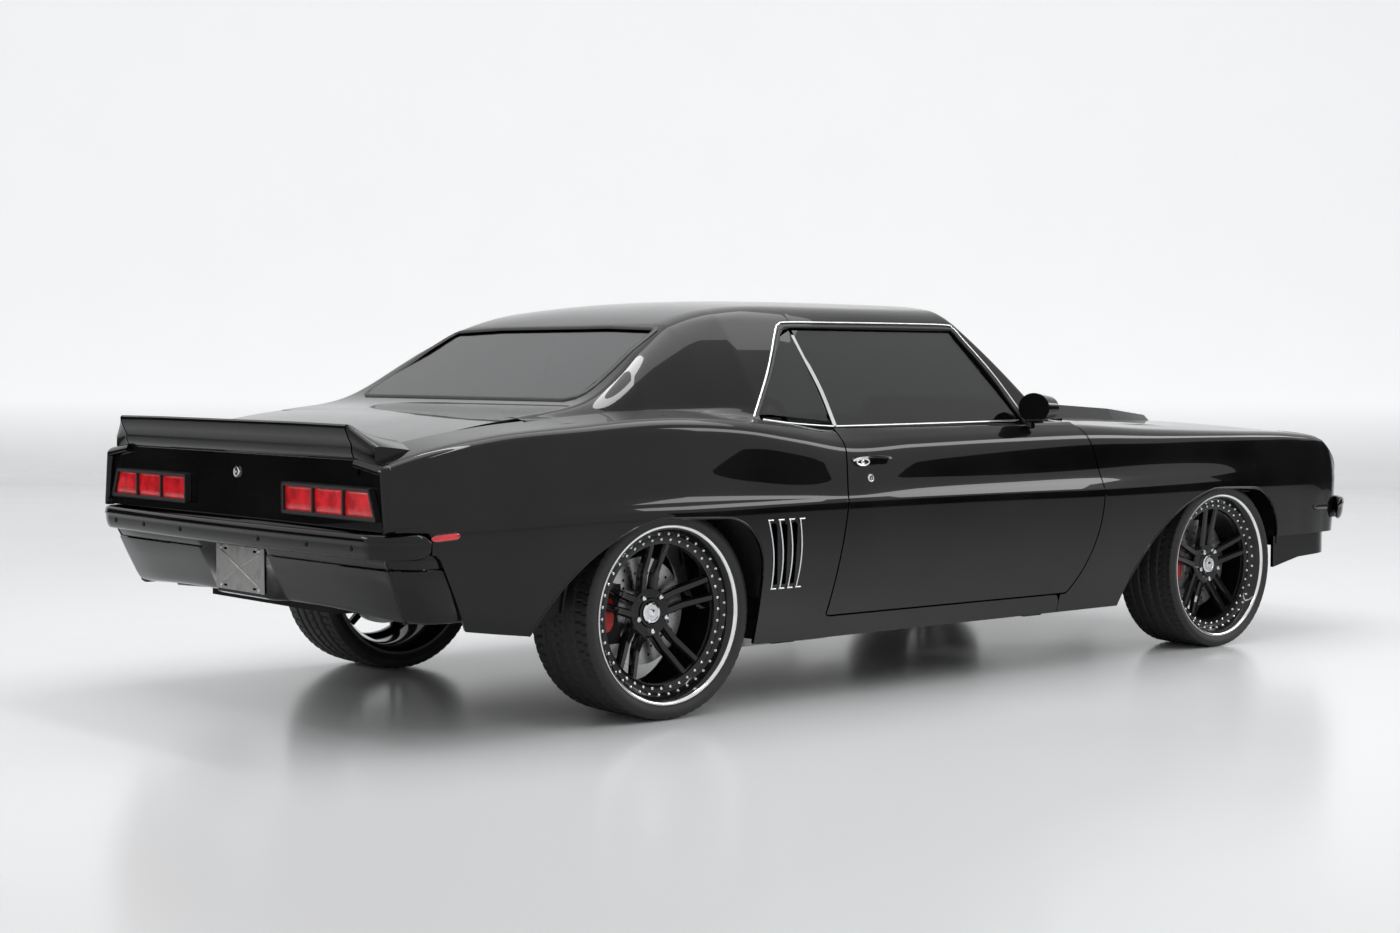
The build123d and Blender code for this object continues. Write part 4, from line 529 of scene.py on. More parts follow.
def insideBy(polygon, u, v):
    # signed distance to a closed outline, below zero inside it
    a = np.asarray(polygon, float)
    b = np.roll(a, -1, 0)
    p = np.stack((u, v), -1)[:, None]
    edge = (b - a)[None]
    t = np.clip(((p - a) * edge).sum(-1) / np.maximum((edge**2).sum(-1), 1e-9), 0, 1)
    gap = np.sqrt((((p - a) - t[..., None] * edge) ** 2).sum(-1)).min(1)
    above = (a[None, :, 1] > v[:, None]) != (b[None, :, 1] > v[:, None])
    climb = np.where(above, b[None, :, 1] - a[None, :, 1], 1.0)
    crossing = u[:, None] < (b - a)[None, :, 0] * (v[:, None] - a[None, :, 1]) / climb + a[None, :, 0]
    return np.where((above & crossing).sum(1) % 2 == 1, -gap, gap)


def clipped(points, triangles, value):
    # keeps what lies where value is below zero; a cut edge gets one point, where value crosses zero
    keep = value < 0
    count = keep[triangles].sum(1)
    whole = triangles[count == 3]
    single, double = triangles[count == 1], triangles[count == 2]
    first = np.argmax(keep[single], 1)
    single = single[np.arange(len(single))[:, None], (first[:, None] + np.arange(3)) % 3]
    first = np.argmax(~keep[double], 1)
    double = double[np.arange(len(double))[:, None], (first[:, None] + np.arange(3)) % 3]
    edges = np.concatenate((single[:, [0, 1]], single[:, [0, 2]], double[:, [0, 1]], double[:, [0, 2]]))
    unique, back = np.unique(np.sort(edges, 1), axis=0, return_inverse=True)
    a, b = unique.T
    share = (value[a] / (value[a] - value[b]))[:, None]
    cuts = points[a] + (points[b] - points[a]) * share
    back = back.reshape(-1) + len(points)
    p, q, r, s = np.split(back, np.cumsum([len(single), len(single), len(double)]))
    made = np.concatenate((
        whole, np.stack((single[:, 0], p, q), 1), np.stack((r, double[:, 1], double[:, 2]), 1),
        np.stack((r, double[:, 2], s), 1)))
    used, made = np.unique(made, return_inverse=True)
    return np.vstack((points, cuts))[used], made.reshape(-1, 3)


def walled(points, triangles):
    # each point is an outer and an inner corner in millimetres; a wall joins the skins round every free edge
    count = len(points)
    edges = np.concatenate((triangles[:, [0, 1]], triangles[:, [1, 2]], triangles[:, [2, 0]]))
    key = edges[:, 0] * count + edges[:, 1]
    free = edges[~np.isin(edges[:, 1] * count + edges[:, 0], key)]
    wall = np.stack((free[:, 1], free[:, 0], free[:, 0] + count, free[:, 1] + count), 1)
    points = np.vstack((points[:, :3], points[:, 3:])) / 1000
    return outward((points, [triangles, triangles[:, ::-1] + count, wall]))


def pairedGrids(outer, inner):
    # two grids as rows of six numbers, and the triangles over them
    index = np.arange(outer[..., 0].size).reshape(outer.shape[:2])
    a, b, c, d = index[:-1, :-1], index[1:, :-1], index[1:, 1:], index[:-1, 1:]
    halves = [np.stack(corners, -1).reshape(-1, 3) for corners in ((a, b, c), (a, c, d))]
    return np.concatenate((outer, inner), -1).reshape(-1, 6), np.concatenate(halves)


def plated(outer, inner):
    # a plate between two grids in millimetres
    return walled(*pairedGrids(outer, inner))


def facing(points):
    # unit normals of a grid of points
    n = np.cross(np.gradient(points, axis=0), np.gradient(points, axis=1))
    return n / np.maximum(np.linalg.norm(n, axis=-1, keepdims=True), 1e-9)


# y, then half width and height of: sill, low, crease, ledge, foot and head of the shoulder, in millimetres
sideStations = np.array([
    (-2310, 728, 200, 752, 430, 762, 635, 758, 670, 752, 700, 735, 738),
    (-2230, 798, 200, 822, 430, 832, 635, 826, 690, 815, 735, 790, 777),
    (-2100, 833, 200, 858, 430, 868, 635, 860, 700, 850, 760, 822, 796),
    (-1900, 850, 200, 876, 430, 888, 635, 878, 705, 868, 780, 838, 812),
    (-1600, 858, 200, 890, 430, 906, 635, 890, 712, 880, 790, 846, 822),
    (-1300, 860, 200, 898, 430, 914, 634, 893, 712, 884, 792, 848, 830),
    (-1000, 862, 200, 903, 430, 920, 633, 897, 706, 888, 790, 850, 840),
    (-600, 864, 200, 908, 430, 926, 634, 902, 692, 894, 790, 850, 860),
    (-200, 865, 200, 910, 430, 929, 638, 910, 680, 898, 786, 852, 862),
    (300, 866, 200, 912, 430, 931, 641, 918, 668, 902, 778, 856, 856),
    (620, 868, 200, 915, 430, 933, 641, 926, 658, 908, 775, 862, 850),
    (820, 870, 200, 918, 430, 936, 642, 925, 664, 908, 812, 868, 874),
    (1020, 874, 205, 922, 430, 939, 642, 925, 668, 905, 850, 870, 895),
    (1316, 880, 230, 925, 430, 940, 641, 925, 671, 900, 872, 866, 908),
    (1650, 878, 272, 915, 432, 934, 638, 922, 664, 892, 856, 862, 890),
    (1950, 862, 308, 895, 440, 912, 628, 906, 645, 876, 838, 850, 866),
    (2200, 835, 345, 868, 450, 886, 620, 883, 633, 862, 797, 842, 820),
    (2310, 812, 365, 848, 455, 864, 618, 862, 630, 848, 766, 834, 786)], float)
topEdges = {  # y, then half width and height of the flange's edge
    "fender": [(-2310, 600, 750), (-2230, 640, 786), (-2100, 676, 806), (-1900, 700, 820), (-1600, 700, 832),
               (-1300, 700, 844), (-1000, 700, 856), (-600, 700, 878), (-200, 700, 890)],
    "door": [(-1000, 832, 872), (820, 832, 872)],
    "quarter": [(-600, 829, 872), (300, 829, 872), (620, 828, 870), (820, 812, 896), (1020, 797, 918),
                (1316, 785, 932), (1650, 730, 912), (1950, 694, 882), (2200, 694, 838), (2310, 694, 806)],
}


def sideSkin(y, topEdge):
    # at each y an arc below the crease, then corners cut smooth for the rounded shoulder and a flange
    rows = along(sideStations[:, 0], sideStations[:, 1:].reshape(-1, 6, 2), y)
    sill, low, crease, ledge, foot, head = (rows[:, k] for k in range(6))
    edge = np.array(topEdge, float)
    flange = along(edge[:, 0], edge[:, 1:], np.clip(y, edge[0, 0], edge[-1, 0]))
    t = np.linspace(0, 1, 13)[None, :, None]
    belly = (sill[:, None] * (1 - t) * (1 - 2 * t) + low[:, None] * 4 * t * (1 - t)
             + crease[:, None] * t * (2 * t - 1))
    run = foot[:, :1] - head[:, :1]
    shoulder = (foot + head) / 2 + np.concatenate((0.28 * run, 0.1 * run), 1)
    upper = np.stack((
        crease, crease + (ledge - crease) * 0.7, ledge + (foot - ledge) * 0.16, ledge + (foot - ledge) * 0.6,
        foot, shoulder, head, head + (flange - head) * 0.3, flange), 1)
    for _ in range(3):
        before, after = upper[:, :-1], upper[:, 1:]
        cut = np.concatenate((before * 0.75 + after * 0.25, before * 0.25 + after * 0.75), 2)
        upper = np.concatenate((upper[:, :1], cut.reshape(len(y), -1, 2)[:, 1:-1], upper[:, -1:]), 1)
    brow = belly[:, -1:] + (belly[:, -2:-1] - belly[:, -1:]) * 0.12
    fold = upper[:, :1] * 0.5 + 0.25 * (upper[:, 1:2] + brow) - (1.2, 0)
    section = np.concatenate((belly[:, :-1], brow, fold, upper[:, 1:]), 1)
    x, z = section[..., 0], section[..., 1]
    return np.stack((x, np.broadcast_to(y[:, None], x.shape), z), -1)


doorRear = arcThrough((680, 274), (628, 600), (604, 872))
doorLine = np.vstack((arcThrough((-560, 880), (-655, 600), (-500, 270)), doorRear,
                      [(604, 1100), (-560, 1100)]))
frontArch = np.vstack((arcThrough((-1768, 380), (-1722, 530), (-1590, 606)),
                       arcThrough((-1330, 614), (-1090, 530), (-800, 180)), [(-800, 0), (-1768, 0)]))
rearArch = np.vstack((arcThrough((980, 420), (1026, 548), (1150, 608)),
                      arcThrough((1400, 616), (1640, 520), (1850, 270)), [(1850, 0), (980, 0)]))
noseLine = np.vstack((arcThrough((-1900, 830), (-2200, 712), (-2312, 500)),
                      [(-2285, 408), (-2285, 100), (-2600, 100), (-2600, 1100), (-1900, 1100)]))
fenderArea = [(-566, 1100), (-2500, 1100), (-2500, 100), (-470, 100), (-470, 264), (-480, 300), (-480, 870),
              (-566, 875)]
quarterArea = [(-467, 0), (2500, 0), (2500, 1000), (604, 1000), (604, 400), (680, 270), (-467, 270)]
chinArea = [(-2500, 0), (-1763, 0), (-1763, 408), (-2500, 408)]
shutGap = 6
panels = {  # node, first and last y, wall, and each line with the side that is kept (1 inside) and a gap
    "fender": ("fender", -2310, -440, 12, [(fenderArea, 1, 0), (doorLine, -1, shutGap), (frontArch, -1, 0),
                                           (noseLine, -1, 0), (chinArea, -1, 0)]),
    "door": ("door", -680, 700, 0, [(doorLine, 1, 0)]),
    "quarter": ("quarter_panel", -480, 2310, 12, [
        (quarterArea, 1, 0), (doorLine, -1, shutGap), (rearArch, -1, 0)]),
}
gills = {"count": 3, "headY": 977, "footY": 943, "headZ": 588, "footZ": 378, "headPitch": 45,
         "footPitch": 35.7, "ribFootPitch": 35.4, "ribHalf": 9, "headWide": 27, "footWide": 17.7}
rearCut = {"end": 2284, "overBumper": 610, "leanFrom": 530, "lean": 0.5}


def leanAt(z):
    # how far forward the valance and the edge of the quarter panel beside it lie at a height
    return rearCut["lean"] * np.clip(rearCut["leanFrom"] - z, 0, None)


def panelShape(name):
    # the side skin for one panel, cut along its lines, with an inner skin under it
    _, first, last, wall, lines = panels[name]
    skin = sideSkin(np.linspace(first, last, 230), topEdges[name])
    inner = skin - facing(skin) * wall
    if name == "door":  # its inner skin is a flat sheet, drawn forward at the rear edge
        inner[..., 0] = 778
        rearward = np.interp(skin[..., 2], doorRear[:, 1], doorRear[:, 0])
        inner[..., 1] -= 16 * np.clip((skin[..., 1] - rearward + 70) / 70, 0, 1)
    cuts = [lambda p, line=line, sign=sign, gap=gap: sign * insideBy(line, p[:, 1], p[:, 2]) + gap + 1e-4
            for line, sign, gap in lines]
    if name == "quarter":  # the corner behind the bumper's end is rounded off up to just above the bumper
        corner = np.vstack((arcThrough((874, 2176), (842, 2258), (780, 2312)),
                            [(780, 2500), (1000, 2500), (1000, 2176)]))
        top = rearCut["overBumper"]
        cuts += [
            lambda p: -np.maximum(insideBy(corner, p[:, 0], p[:, 1] + leanAt(p[:, 2])), p[:, 2] - top) + 1e-4,
            lambda p: np.minimum(p[:, 1] - rearCut["end"], p[:, 2] - top),
            lambda p: np.minimum(p[:, 1] + leanAt(p[:, 2]) - 2150, 545 - p[:, 2])]
        for k in range(gills["count"]):
            head = gills["headY"] - k * gills["headPitch"] - gills["ribHalf"]
            foot = gills["footY"] - k * gills["footPitch"] - gills["ribHalf"]
            slot = [(head, gills["headZ"]), (head - gills["headWide"], gills["headZ"]),
                    (foot - gills["footWide"], gills["footZ"]), (foot, gills["footZ"])]
            cuts.append(lambda p, slot=slot: -insideBy(slot, p[:, 1], p[:, 2]) + 1e-4)
    points, triangles = pairedGrids(skin, inner)
    for cut in cuts:
        points, triangles = clipped(points, triangles, cut(points))
    return walled(points, triangles)


for name, (node, *_) in panels.items():
    shape = panelShape(name)
    for side in ("left", "right"):
        body = f"{side}_door" if name == "door" else "car_body"
        makePiece(f"{node}_{side}_skin", sided(shape, side), "bodyPaint", body, 40, [f"{node}_{side}"])
print("side panels made")


# cabin: the lowest of the side glass plane, the roof line and the windshield plane, blended at their edges
cabin = {"blend": 60.0, "valley": 46.0, "crown": 1303.0, "wall": 30.0, "halfBase": 835}


def smoothLow(a, b, k):
    # the lower of two heights, less (k - their gap) squared / 4k where the gap is below k
    return np.minimum(a, b) - np.maximum(k - np.abs(a - b), 0) ** 2 / (4 * k)


roofLine = np.vstack(([(-700, 1291)], arcThrough((-240, 1297), (200, 1304), (620, 1294)),
                      arcThrough((620, 1294), (880, 1266), (1080, 1200))[1:],
                      [(1500, 955), (1739, 915), (1900, 888)]))
sideLine = np.vstack(([(1040, 490)], arcThrough((832, 872), (731, 1056.5), (606, 1217)),
                      arcThrough((606, 1217), (568, 1246), (500, 1268))[1:],
                      arcThrough((500, 1268), (0, cabin["crown"]), (-500, 1268), 49)[1:25]))[::-1]


def roofHeight(x, y):
    # the lowest of the side line, moved in as the roof narrows, the roof line and the windshield's plane
    narrowing = cabin["halfBase"] - np.interp(y, (900, 1316, 1620, 1900), (cabin["halfBase"], 790, 735, 735))
    side = np.interp(x + narrowing, sideLine[:, 0], sideLine[:, 1])
    line = along(roofLine[:, 0], roofLine[:, 1], y.ravel()).reshape(y.shape)
    line = np.minimum(line, np.interp(y, roofLine[:, 0], roofLine[:, 1]))
    bow = -640 + 230 * (x / 900) ** 2
    shield = 880 + (y - bow) * 405 / 400
    z = smoothLow(side, line, cabin["blend"] * np.interp(y, (600, 1100), (0.5, 1.4)))
    return smoothLow(z, shield, 14.0)


rowsAlong = ((-640, -200, 70), (-200, 900, 90), (900, 1745, 90))  # first and last y and how many rows
y = np.unique(np.concatenate([np.linspace(*part) for part in rowsAlong]))
share = np.linspace(0, 1, 120)
quarterEdge = np.array(topEdges["quarter"], float)
flangeX, flangeZ = (np.interp(y, quarterEdge[:, 0], quarterEdge[:, k]) for k in (1, 2))
headX, headZ = (np.interp(y, sideStations[:, 0], sideStations[:, k]) for k in (11, 12))
limit = np.where(y > 590, flangeX + (headX - flangeX) * 0.62, 836)
x = limit[:, None] * (1 - (1 - share) ** 1.25)
rowY = np.broadcast_to(y[:, None], x.shape)
z = roofHeight(x, rowY)
beyond = x - flangeX[:, None]
climb = ((headZ - flangeZ) / (headX - flangeX))[:, None]
deck = flangeZ[:, None] + np.where(beyond > 0, beyond * climb, beyond)
valley = -smoothLow(-z, -(deck + 0.6), cabin["valley"])
z = np.where(rowY > 600, z + (valley - z) * np.clip((rowY - 600) / 120, 0, 1), z)
roofSkin = np.stack((x, rowY, z), -1)
normal = facing(roofSkin)
inner = roofSkin - np.sign(normal[..., 2:]) * normal * cabin["wall"]
inner[:, 0, 0] = 0
windowLine = [(-322, 860), (-165, 1192), (600, 1192), (640, 1187), (668, 1168), (915, 905), (915, 860)]
shieldLine = [(742, 860), (742, 892), (548, 1236), (-742, 1236), (-742, 860)]
backLine = np.array([(-100, 962), (560, 962), (592, 970), (600, 985), (563, 1160), (556, 1176), (540, 1184),
                     (300, 1192), (-100, 1196)], float)
points, triangles = pairedGrids(roofSkin, inner)
for cut in (  # side windows, windshield, back window and the cowl
        lambda p: -np.maximum(insideBy(windowLine, p[:, 1], p[:, 2]), 560 - p[:, 0]),
        lambda p: -np.maximum(insideBy(shieldLine, p[:, 0], p[:, 2]), p[:, 1] + 60),
        lambda p: -np.maximum(insideBy(backLine, p[:, 0], p[:, 2]), 1000 - p[:, 1]),
        lambda p: np.where(p[:, 1] < 640, 880 - p[:, 2], -1.0)):
    points, triangles = clipped(points, triangles, cut(points) + 1e-4)
roof = bothSides(walled(points, triangles))
makePiece("roof_skin", roof, "bodyPaint", sharp=40, nodesStoodFor=["roof_shell"])
print("roof made")

# seats: each cushion is a rounded block with sewn channels, blown up as cloth from a slightly small start
seat = {"voxel": 0.008, "pressure": 4.0, "frames": 20, "cap": 0.014, "channelDepth": 0.009}


def cushionShape(halfWidth, outline, channels, crown):
    # the side outline carried across the width, crowned in the middle and pulled in at both ends
    loop = smoothPath(outline + outline[:2], 12 * len(outline) + 1)[:-1]
    middle = loop.mean(0)
    u = np.linspace(-1, 1, 61)
    end = np.sqrt(np.clip(1 - np.abs(u) ** 7, 0, 1))
    grooves = sum(np.exp(-((u - channel) / 0.022) ** 2) for channel in channels)
    size = (1 - 0.16 * (1 - end)) * (1 + crown * (1 - u**2)) * (1 - seat["channelDepth"] / 0.09 * grooves)
    flat = middle + (loop - middle) * size[:, None, None]
    x = np.broadcast_to((u * halfWidth)[:, None, None], flat.shape[:2] + (1,))
    return outward(gridShape(np.concatenate((x, flat), -1), wrapColumns=True, caps=True))


def pointsOf(mesh):
    flat = np.empty(len(mesh.vertices) * 3)
    mesh.vertices.foreach_get("co", flat)
    return flat.reshape(-1, 3)


def evaluated(made):
    return made.evaluated_get(bpy.context.evaluated_depsgraph_get())


def stuffed(made):
    # remeshed evenly, blown up as cloth, each point's move capped, and the result kept as the mesh
    bpy.context.view_layer.objects.active = made
    remesh = made.modifiers.new("even", "REMESH")
    remesh.mode, remesh.voxel_size, remesh.use_smooth_shade = "VOXEL", seat["voxel"], True
    mesh = bpy.data.meshes.new_from_object(evaluated(made))
    made.modifiers.clear()
    made.data = mesh
    start = pointsOf(mesh)
    cloth = made.modifiers.new("blown", "CLOTH").settings
    cloth.use_pressure = True
    cloth.uniform_pressure_force = seat["pressure"]
    cloth.effector_weights.gravity = 0.0
    cloth.quality = 4
    for step in range(1, seat["frames"] + 1):
        bpy.context.scene.frame_set(step)
    move = pointsOf(evaluated(made).data) - start
    reach = np.linalg.norm(move, axis=1, keepdims=True)
    move *= np.minimum(1, seat["cap"] / np.maximum(reach, 1e-9))
    made.modifiers.clear()
    mesh.vertices.foreach_set("co", (start + move).ravel())
    mesh.update()
    bpy.context.scene.frame_set(1)
    made.data.shade_smooth()


seatLines = {  # (y, z) round the side of each cushion
    "frontBase": [(-0.024, 0.25), (-0.028, 0.36), (0.02, 0.414), (0.2, 0.398), (0.36, 0.384), (0.415, 0.34),
                  (0.40, 0.25), (0.2, 0.235)],
    "frontBack": [(0.385, 0.40), (0.43, 0.60), (0.48, 0.80), (0.515, 0.822), (0.552, 0.80), (0.525, 0.60),
                  (0.488, 0.42), (0.43, 0.375)],
    "rearBase": [(0.722, 0.47), (0.72, 0.50), (0.75, 0.512), (0.9, 0.498), (1.03, 0.486), (1.07, 0.478),
                 (1.06, 0.468), (0.9, 0.466)],
    "rearBack": [(1.055, 0.51), (1.10, 0.68), (1.15, 0.84), (1.185, 0.852), (1.218, 0.84), (1.185, 0.68),
                 (1.135, 0.5), (1.09, 0.475)],
}
front = {"half": 0.205, "flutes": (-0.62, -0.31, 0.0, 0.31, 0.62), "fill": 0.75}
rear = {"half": 0.545, "flutes": (-0.6, -0.3, 0.0, 0.3, 0.6), "fill": 0.7}
for name, row, line, x, crown, stoodFor in (
        ("front_seat_left_base", front, "frontBase", 0.37, 0.06, ["front_seats"]),
        ("front_seat_left_back", front, "frontBack", 0.37, 0.05, ()),
        ("front_seat_right_base", front, "frontBase", -0.37, 0.06, ()),
        ("front_seat_right_back", front, "frontBack", -0.37, 0.05, ()),
        ("rear_seat_base", rear, "rearBase", 0.0, 0.1, ["rear_seat"]),
        ("rear_seat_back", rear, "rearBack", 0.0, 0.05, ())):
    shape = moved(cushionShape(row["half"], seatLines[line], row["flutes"], crown), (x, 0, 0))
    stuffed(makePiece(name, shape, "leather", sharp=60, nodesStoodFor=stoodFor))
print("seats made")


# rear end, bumpers, lamps and bright trim
def onSide(places, proud):
    # points in millimetres on the side skin at each (y, z), moved outward
    places = np.asarray(places, float)
    rows = [row[:row[:, 2].argmax() + 1] for row in sideSkin(places[:, 0], topEdges["quarter"])]
    x = [np.interp(z, row[:, 2], row[:, 0]) for z, row in zip(places[:, 1], rows)]
    return np.stack((np.array(x) + proud, places[:, 0], places[:, 1]), 1)


# valance: a section of (height, depth) carried round the plan, leaning forward, with a recess for the plate
valance = {"plateHalf": 146.0, "slope": 62.0, "plateY": 2275.0, "wall": 3.0, "recessTop": 526}
turnDown = smoothPath([(864, 2090), (867, 2140), (868, 2180), (862, 2222), (842, 2256), (812, 2280),
                       (780, 2294), (560, 2311), (0, 2321)], 110)
middleX = np.unique(np.concatenate((np.linspace(0, 760, 39), (145, 147, 207, 209))))
order = np.argsort(turnDown[:, 0])
middleY = np.interp(middleX, turnDown[order, 0], turnDown[order, 1])
halfPlan = np.vstack((np.stack((middleX, middleY), 1), turnDown[turnDown[:, 0] > 762][::-1]))
planLine = np.vstack((halfPlan[:0:-1] * (-1, 1), halfPlan))
levels = np.array([
    (612, 50), (590, 46), (572, 34), (560, 16), (548, 8), (524, 7), (508, 8), (503, 1), (500, 0), (450, 0),
    (400, 0), (384, 0.5), (374, 4), (368, 11), (366, 22), (368, 70)], float)
tangent = np.gradient(planLine, axis=0)
tangent /= np.linalg.norm(tangent, axis=1, keepdims=True)
depth = levels[:, None, 1]
x, y = (planLine - np.stack((-tangent[:, 1], tangent[:, 0]), 1) * depth[..., None]).transpose(2, 0, 1)
height = np.broadcast_to(levels[:, :1], x.shape)
atEnd = np.interp(height, (345, 366, 400, 450, 530, 572), (842, 849, 861, 873, 883, 886)) / 867
x = x * (1 + (atEnd - 1) * np.clip((np.abs(x) - 600) / 262, 0, 1))
off = np.abs(x)
z = height - 20 * np.clip((off - 380) / 450, 0, 1) ** 1.5 * np.clip((520 - height) / 140, 0, 1)
recess = np.clip((off - valance["plateHalf"]) / valance["slope"], 0, 1)
y = y - leanAt(height)
flatPart = valance["plateY"] - np.where(height < 370, 8 + depth * 0.6, 0)
y = np.where(height < valance["recessTop"], flatPart + (y - flatPart) * recess, y)
skin = np.stack((x, y, z), -1)
normal = facing(skin)
inner = skin - normal * np.sign(normal[len(levels) // 2, len(planLine) // 2, 1]) * valance["wall"]
iron = roundBox((0.535, 2.262, 0.542), (0.585, 2.336, 0.562), 0.004)
makePiece("rear_valance_skin", joined([plated(skin, inner), bothSides(iron)]), "bodyPaint", sharp=40,
          nodesStoodFor=["rear_valance"])

# spoiler: a wedge with a hollowed rear face; beyond the lid it runs down to the quarter panels
wedge = np.array([
    (2165, 842), (2165, 855), (2200, 861), (2240, 869.5), (2285, 887), (2314, 902), (2323, 904.6),
    (2329, 900), (2329.5, 889), (2319, 864), (2311, 847), (2310, 838), (2309, 822), (2301, 806),
    (2292, 801), (2291, 812), (2230, 828)], float)
wedgeFoot = np.array([
    (2150, 800), (2150, 826), (2180, 831), (2215, 836), (2250, 840), (2280, 843), (2289, 842.5),
    (2295, 839), (2297, 832), (2297, 826), (2297, 820), (2297, 814), (2297, 806), (2296, 792),
    (2290, 790), (2250, 790), (2200, 790)], float)
spoiler = {"half": 684, "gap": 7, "endWidth": 95, "bow": 3.0}
blade = slice(4, 10)  # the corners of the wedge that drop towards its ends


def acrossX(xs, sections):
    # side sections (y, z) placed at each x, as one closed form
    x = np.broadcast_to(xs[:, None, None], sections.shape[:2] + (1,))
    return outward(gridShape(np.concatenate((x, sections), -1) / 1000, wrapColumns=True, caps=True))


xs = np.linspace(-spoiler["half"], spoiler["half"], 57)
middle = np.tile(wedge, (len(xs), 1, 1))
middle[:, blade, 1] += np.minimum(1.0 - spoiler["bow"] * (xs / spoiler["half"]) ** 2, 0)[:, None]
makePiece("spoiler_middle", acrossX(xs, middle), "bodyPaint", "trunk_cover", 40, ["spoiler"])
t = np.linspace(0, 1, 14)
wedge[blade, 1] += 1.0 - spoiler["bow"]
sections = wedge + (wedgeFoot - wedge) * (t**0.85)[:, None, None]
ends = acrossX(spoiler["half"] + spoiler["gap"] + spoiler["endWidth"] * t, sections)
makePiece("spoiler_sides", bothSides(ends), "bodyPaint", sharp=40, nodesStoodFor=["spoiler_ends"])

# rounded rear corners of the quarter panels: a quarter circle carried up the end of the side skin
row = sideSkin(np.array([float(rearCut["end"])]), topEdges["quarter"])[0]
row = row[row[:, 2].searchsorted(rearCut["overBumper"]):]
turn = np.linspace(0, math.pi / 2, 9)
quarterRound = np.vstack((26 * np.stack((1 - np.cos(turn), np.sin(turn)), 1), [(30, 22), (32, -2), (0, -2)]))
makePiece("rear_corners", bothSides(swept(row / 1000, quarterRound / 1000, up=(0, 1, 0))), "bodyPaint")

# bumpers: one rounded section carried round the end of the car and tapered at its tips
bumperSection = np.array([
    (13, 36), (7, 34.8), (3, 30), (1, 23), (0, 17), (0.6, 12), (3.2, 9), (3.8, 0), (5.5, -14), (9.5, -27),
    (14, -34), (19, -36), (23, -33), (22, 0), (20, 33)]) / 1000
bumpers = {  # 1 rearward, corner and tip of the plan, middle of its arc, height and how tall it is
    "rear": (1, (800, 2334), (896, 2185), 2361.7, 568, 1.0),
    "front": (-1, (780, -2332), (872, -2200), -2361.9, 500.5, 1.2361),
}
boltX = np.array((-720.0, -500.0, -240.0, 240.0, 500.0, 720.0))
boltProfile = np.array([(-6, 0.3), (-6, 9), (0.2, 9), (2.6, 6), (3.4, 0.3)]) / 1000
for name, (side, corner, tip, centreY, z, tall) in bumpers.items():
    through = ((corner[0] + tip[0]) / 2 + 14, (corner[1] + tip[1]) / 2 + 21 * side)
    end = arcThrough(corner, through, tip, 21)
    bow = arcThrough((-corner[0], corner[1]), (0, centreY), corner, 61)[1:-1]
    plan = np.vstack((end[::-1] * (-1, 1), bow, end))
    path = np.column_stack((plan, np.full(len(plan), z))) / 1000
    taper = np.ones(len(path))
    taper[:5] = (0.45, 0.72, 0.88, 0.96, 0.99)
    taper[-5:] = taper[4::-1]
    bar = swept(path, bumperSection * (side, tall), scale=taper)
    dome = facingRear(lathe(boltProfile * (side, 1), 14))
    boltY = np.interp(boltX, plan[:, 0], plan[:, 1])
    bolts = repeated(dome, np.stack((boltX, boltY - 3.4 * side, np.full(6, z - 6)), 1) / 1000)
    makePiece(f"{name}_bumper_bar", bar, "bodyPaint", nodesStoodFor=[f"{name}_bumper"])
    makePiece(f"{name}_bumper_bolts", outward(bolts), "bumperPaint", sharp=35)

# nose caps: from the cut edge of each fender's nose to the side of the nose panel and the grille opening
noseEdge = noseLine[:-4]
noseEdge = noseEdge[(noseEdge[:, 0] < -2000) & (noseEdge[:, 1] < 788)]
outerEdge = evenly(np.vstack(([(705, -2038, 809), (760, -2052, 804.5), (800, -2062, 800)],
                              onSide(noseEdge, -1.0), onSide([(-2290, 425)], -1.0))), 60)
innerEdge = evenly(smoothPath([
    (693, -2028, 810), (684, -2062, 805), (668, -2112, 799), (638, -2166, 793), (600, -2186, 791),
    (593, -2208, 790), (592, -2250, 777), (592, -2294, 745), (597, -2305, 724), (620, -2300, 717),
    (690, -2288, 714), (697, -2282, 700), (697, -2280, 640), (697, -2280, 565), (705, -2280, 545),
    (760, -2275, 425)], 90), 60)
t = np.linspace(0, 1, 12)[:, None]
cap = outerEdge[:, None] * (1 - t) + innerEdge[:, None] * t
cap[..., 1] -= 14 * np.sin(t[:, 0] * math.pi) ** 0.8 * np.clip((780 - cap[..., 2]) / 80, 0, 1)
normal = facing(cap)
makePiece("nose_caps", bothSides(plated(cap, cap - normal * np.sign(normal[30, 6, 1]) * 3)), "bodyPaint")
surround = [(-697, -2283, 556), (-690, -2283, 549), (690, -2283, 549), (697, -2283, 556), (697, -2283, 706),
            (690, -2283, 713), (-690, -2283, 713), (-697, -2283, 706)]
surround = swept(loopPath(surround, 5) / 1000, ringSection(0.007, 10), up=(0, 1, 0), closed=True)
makePiece("grille_surround", surround, "trim")

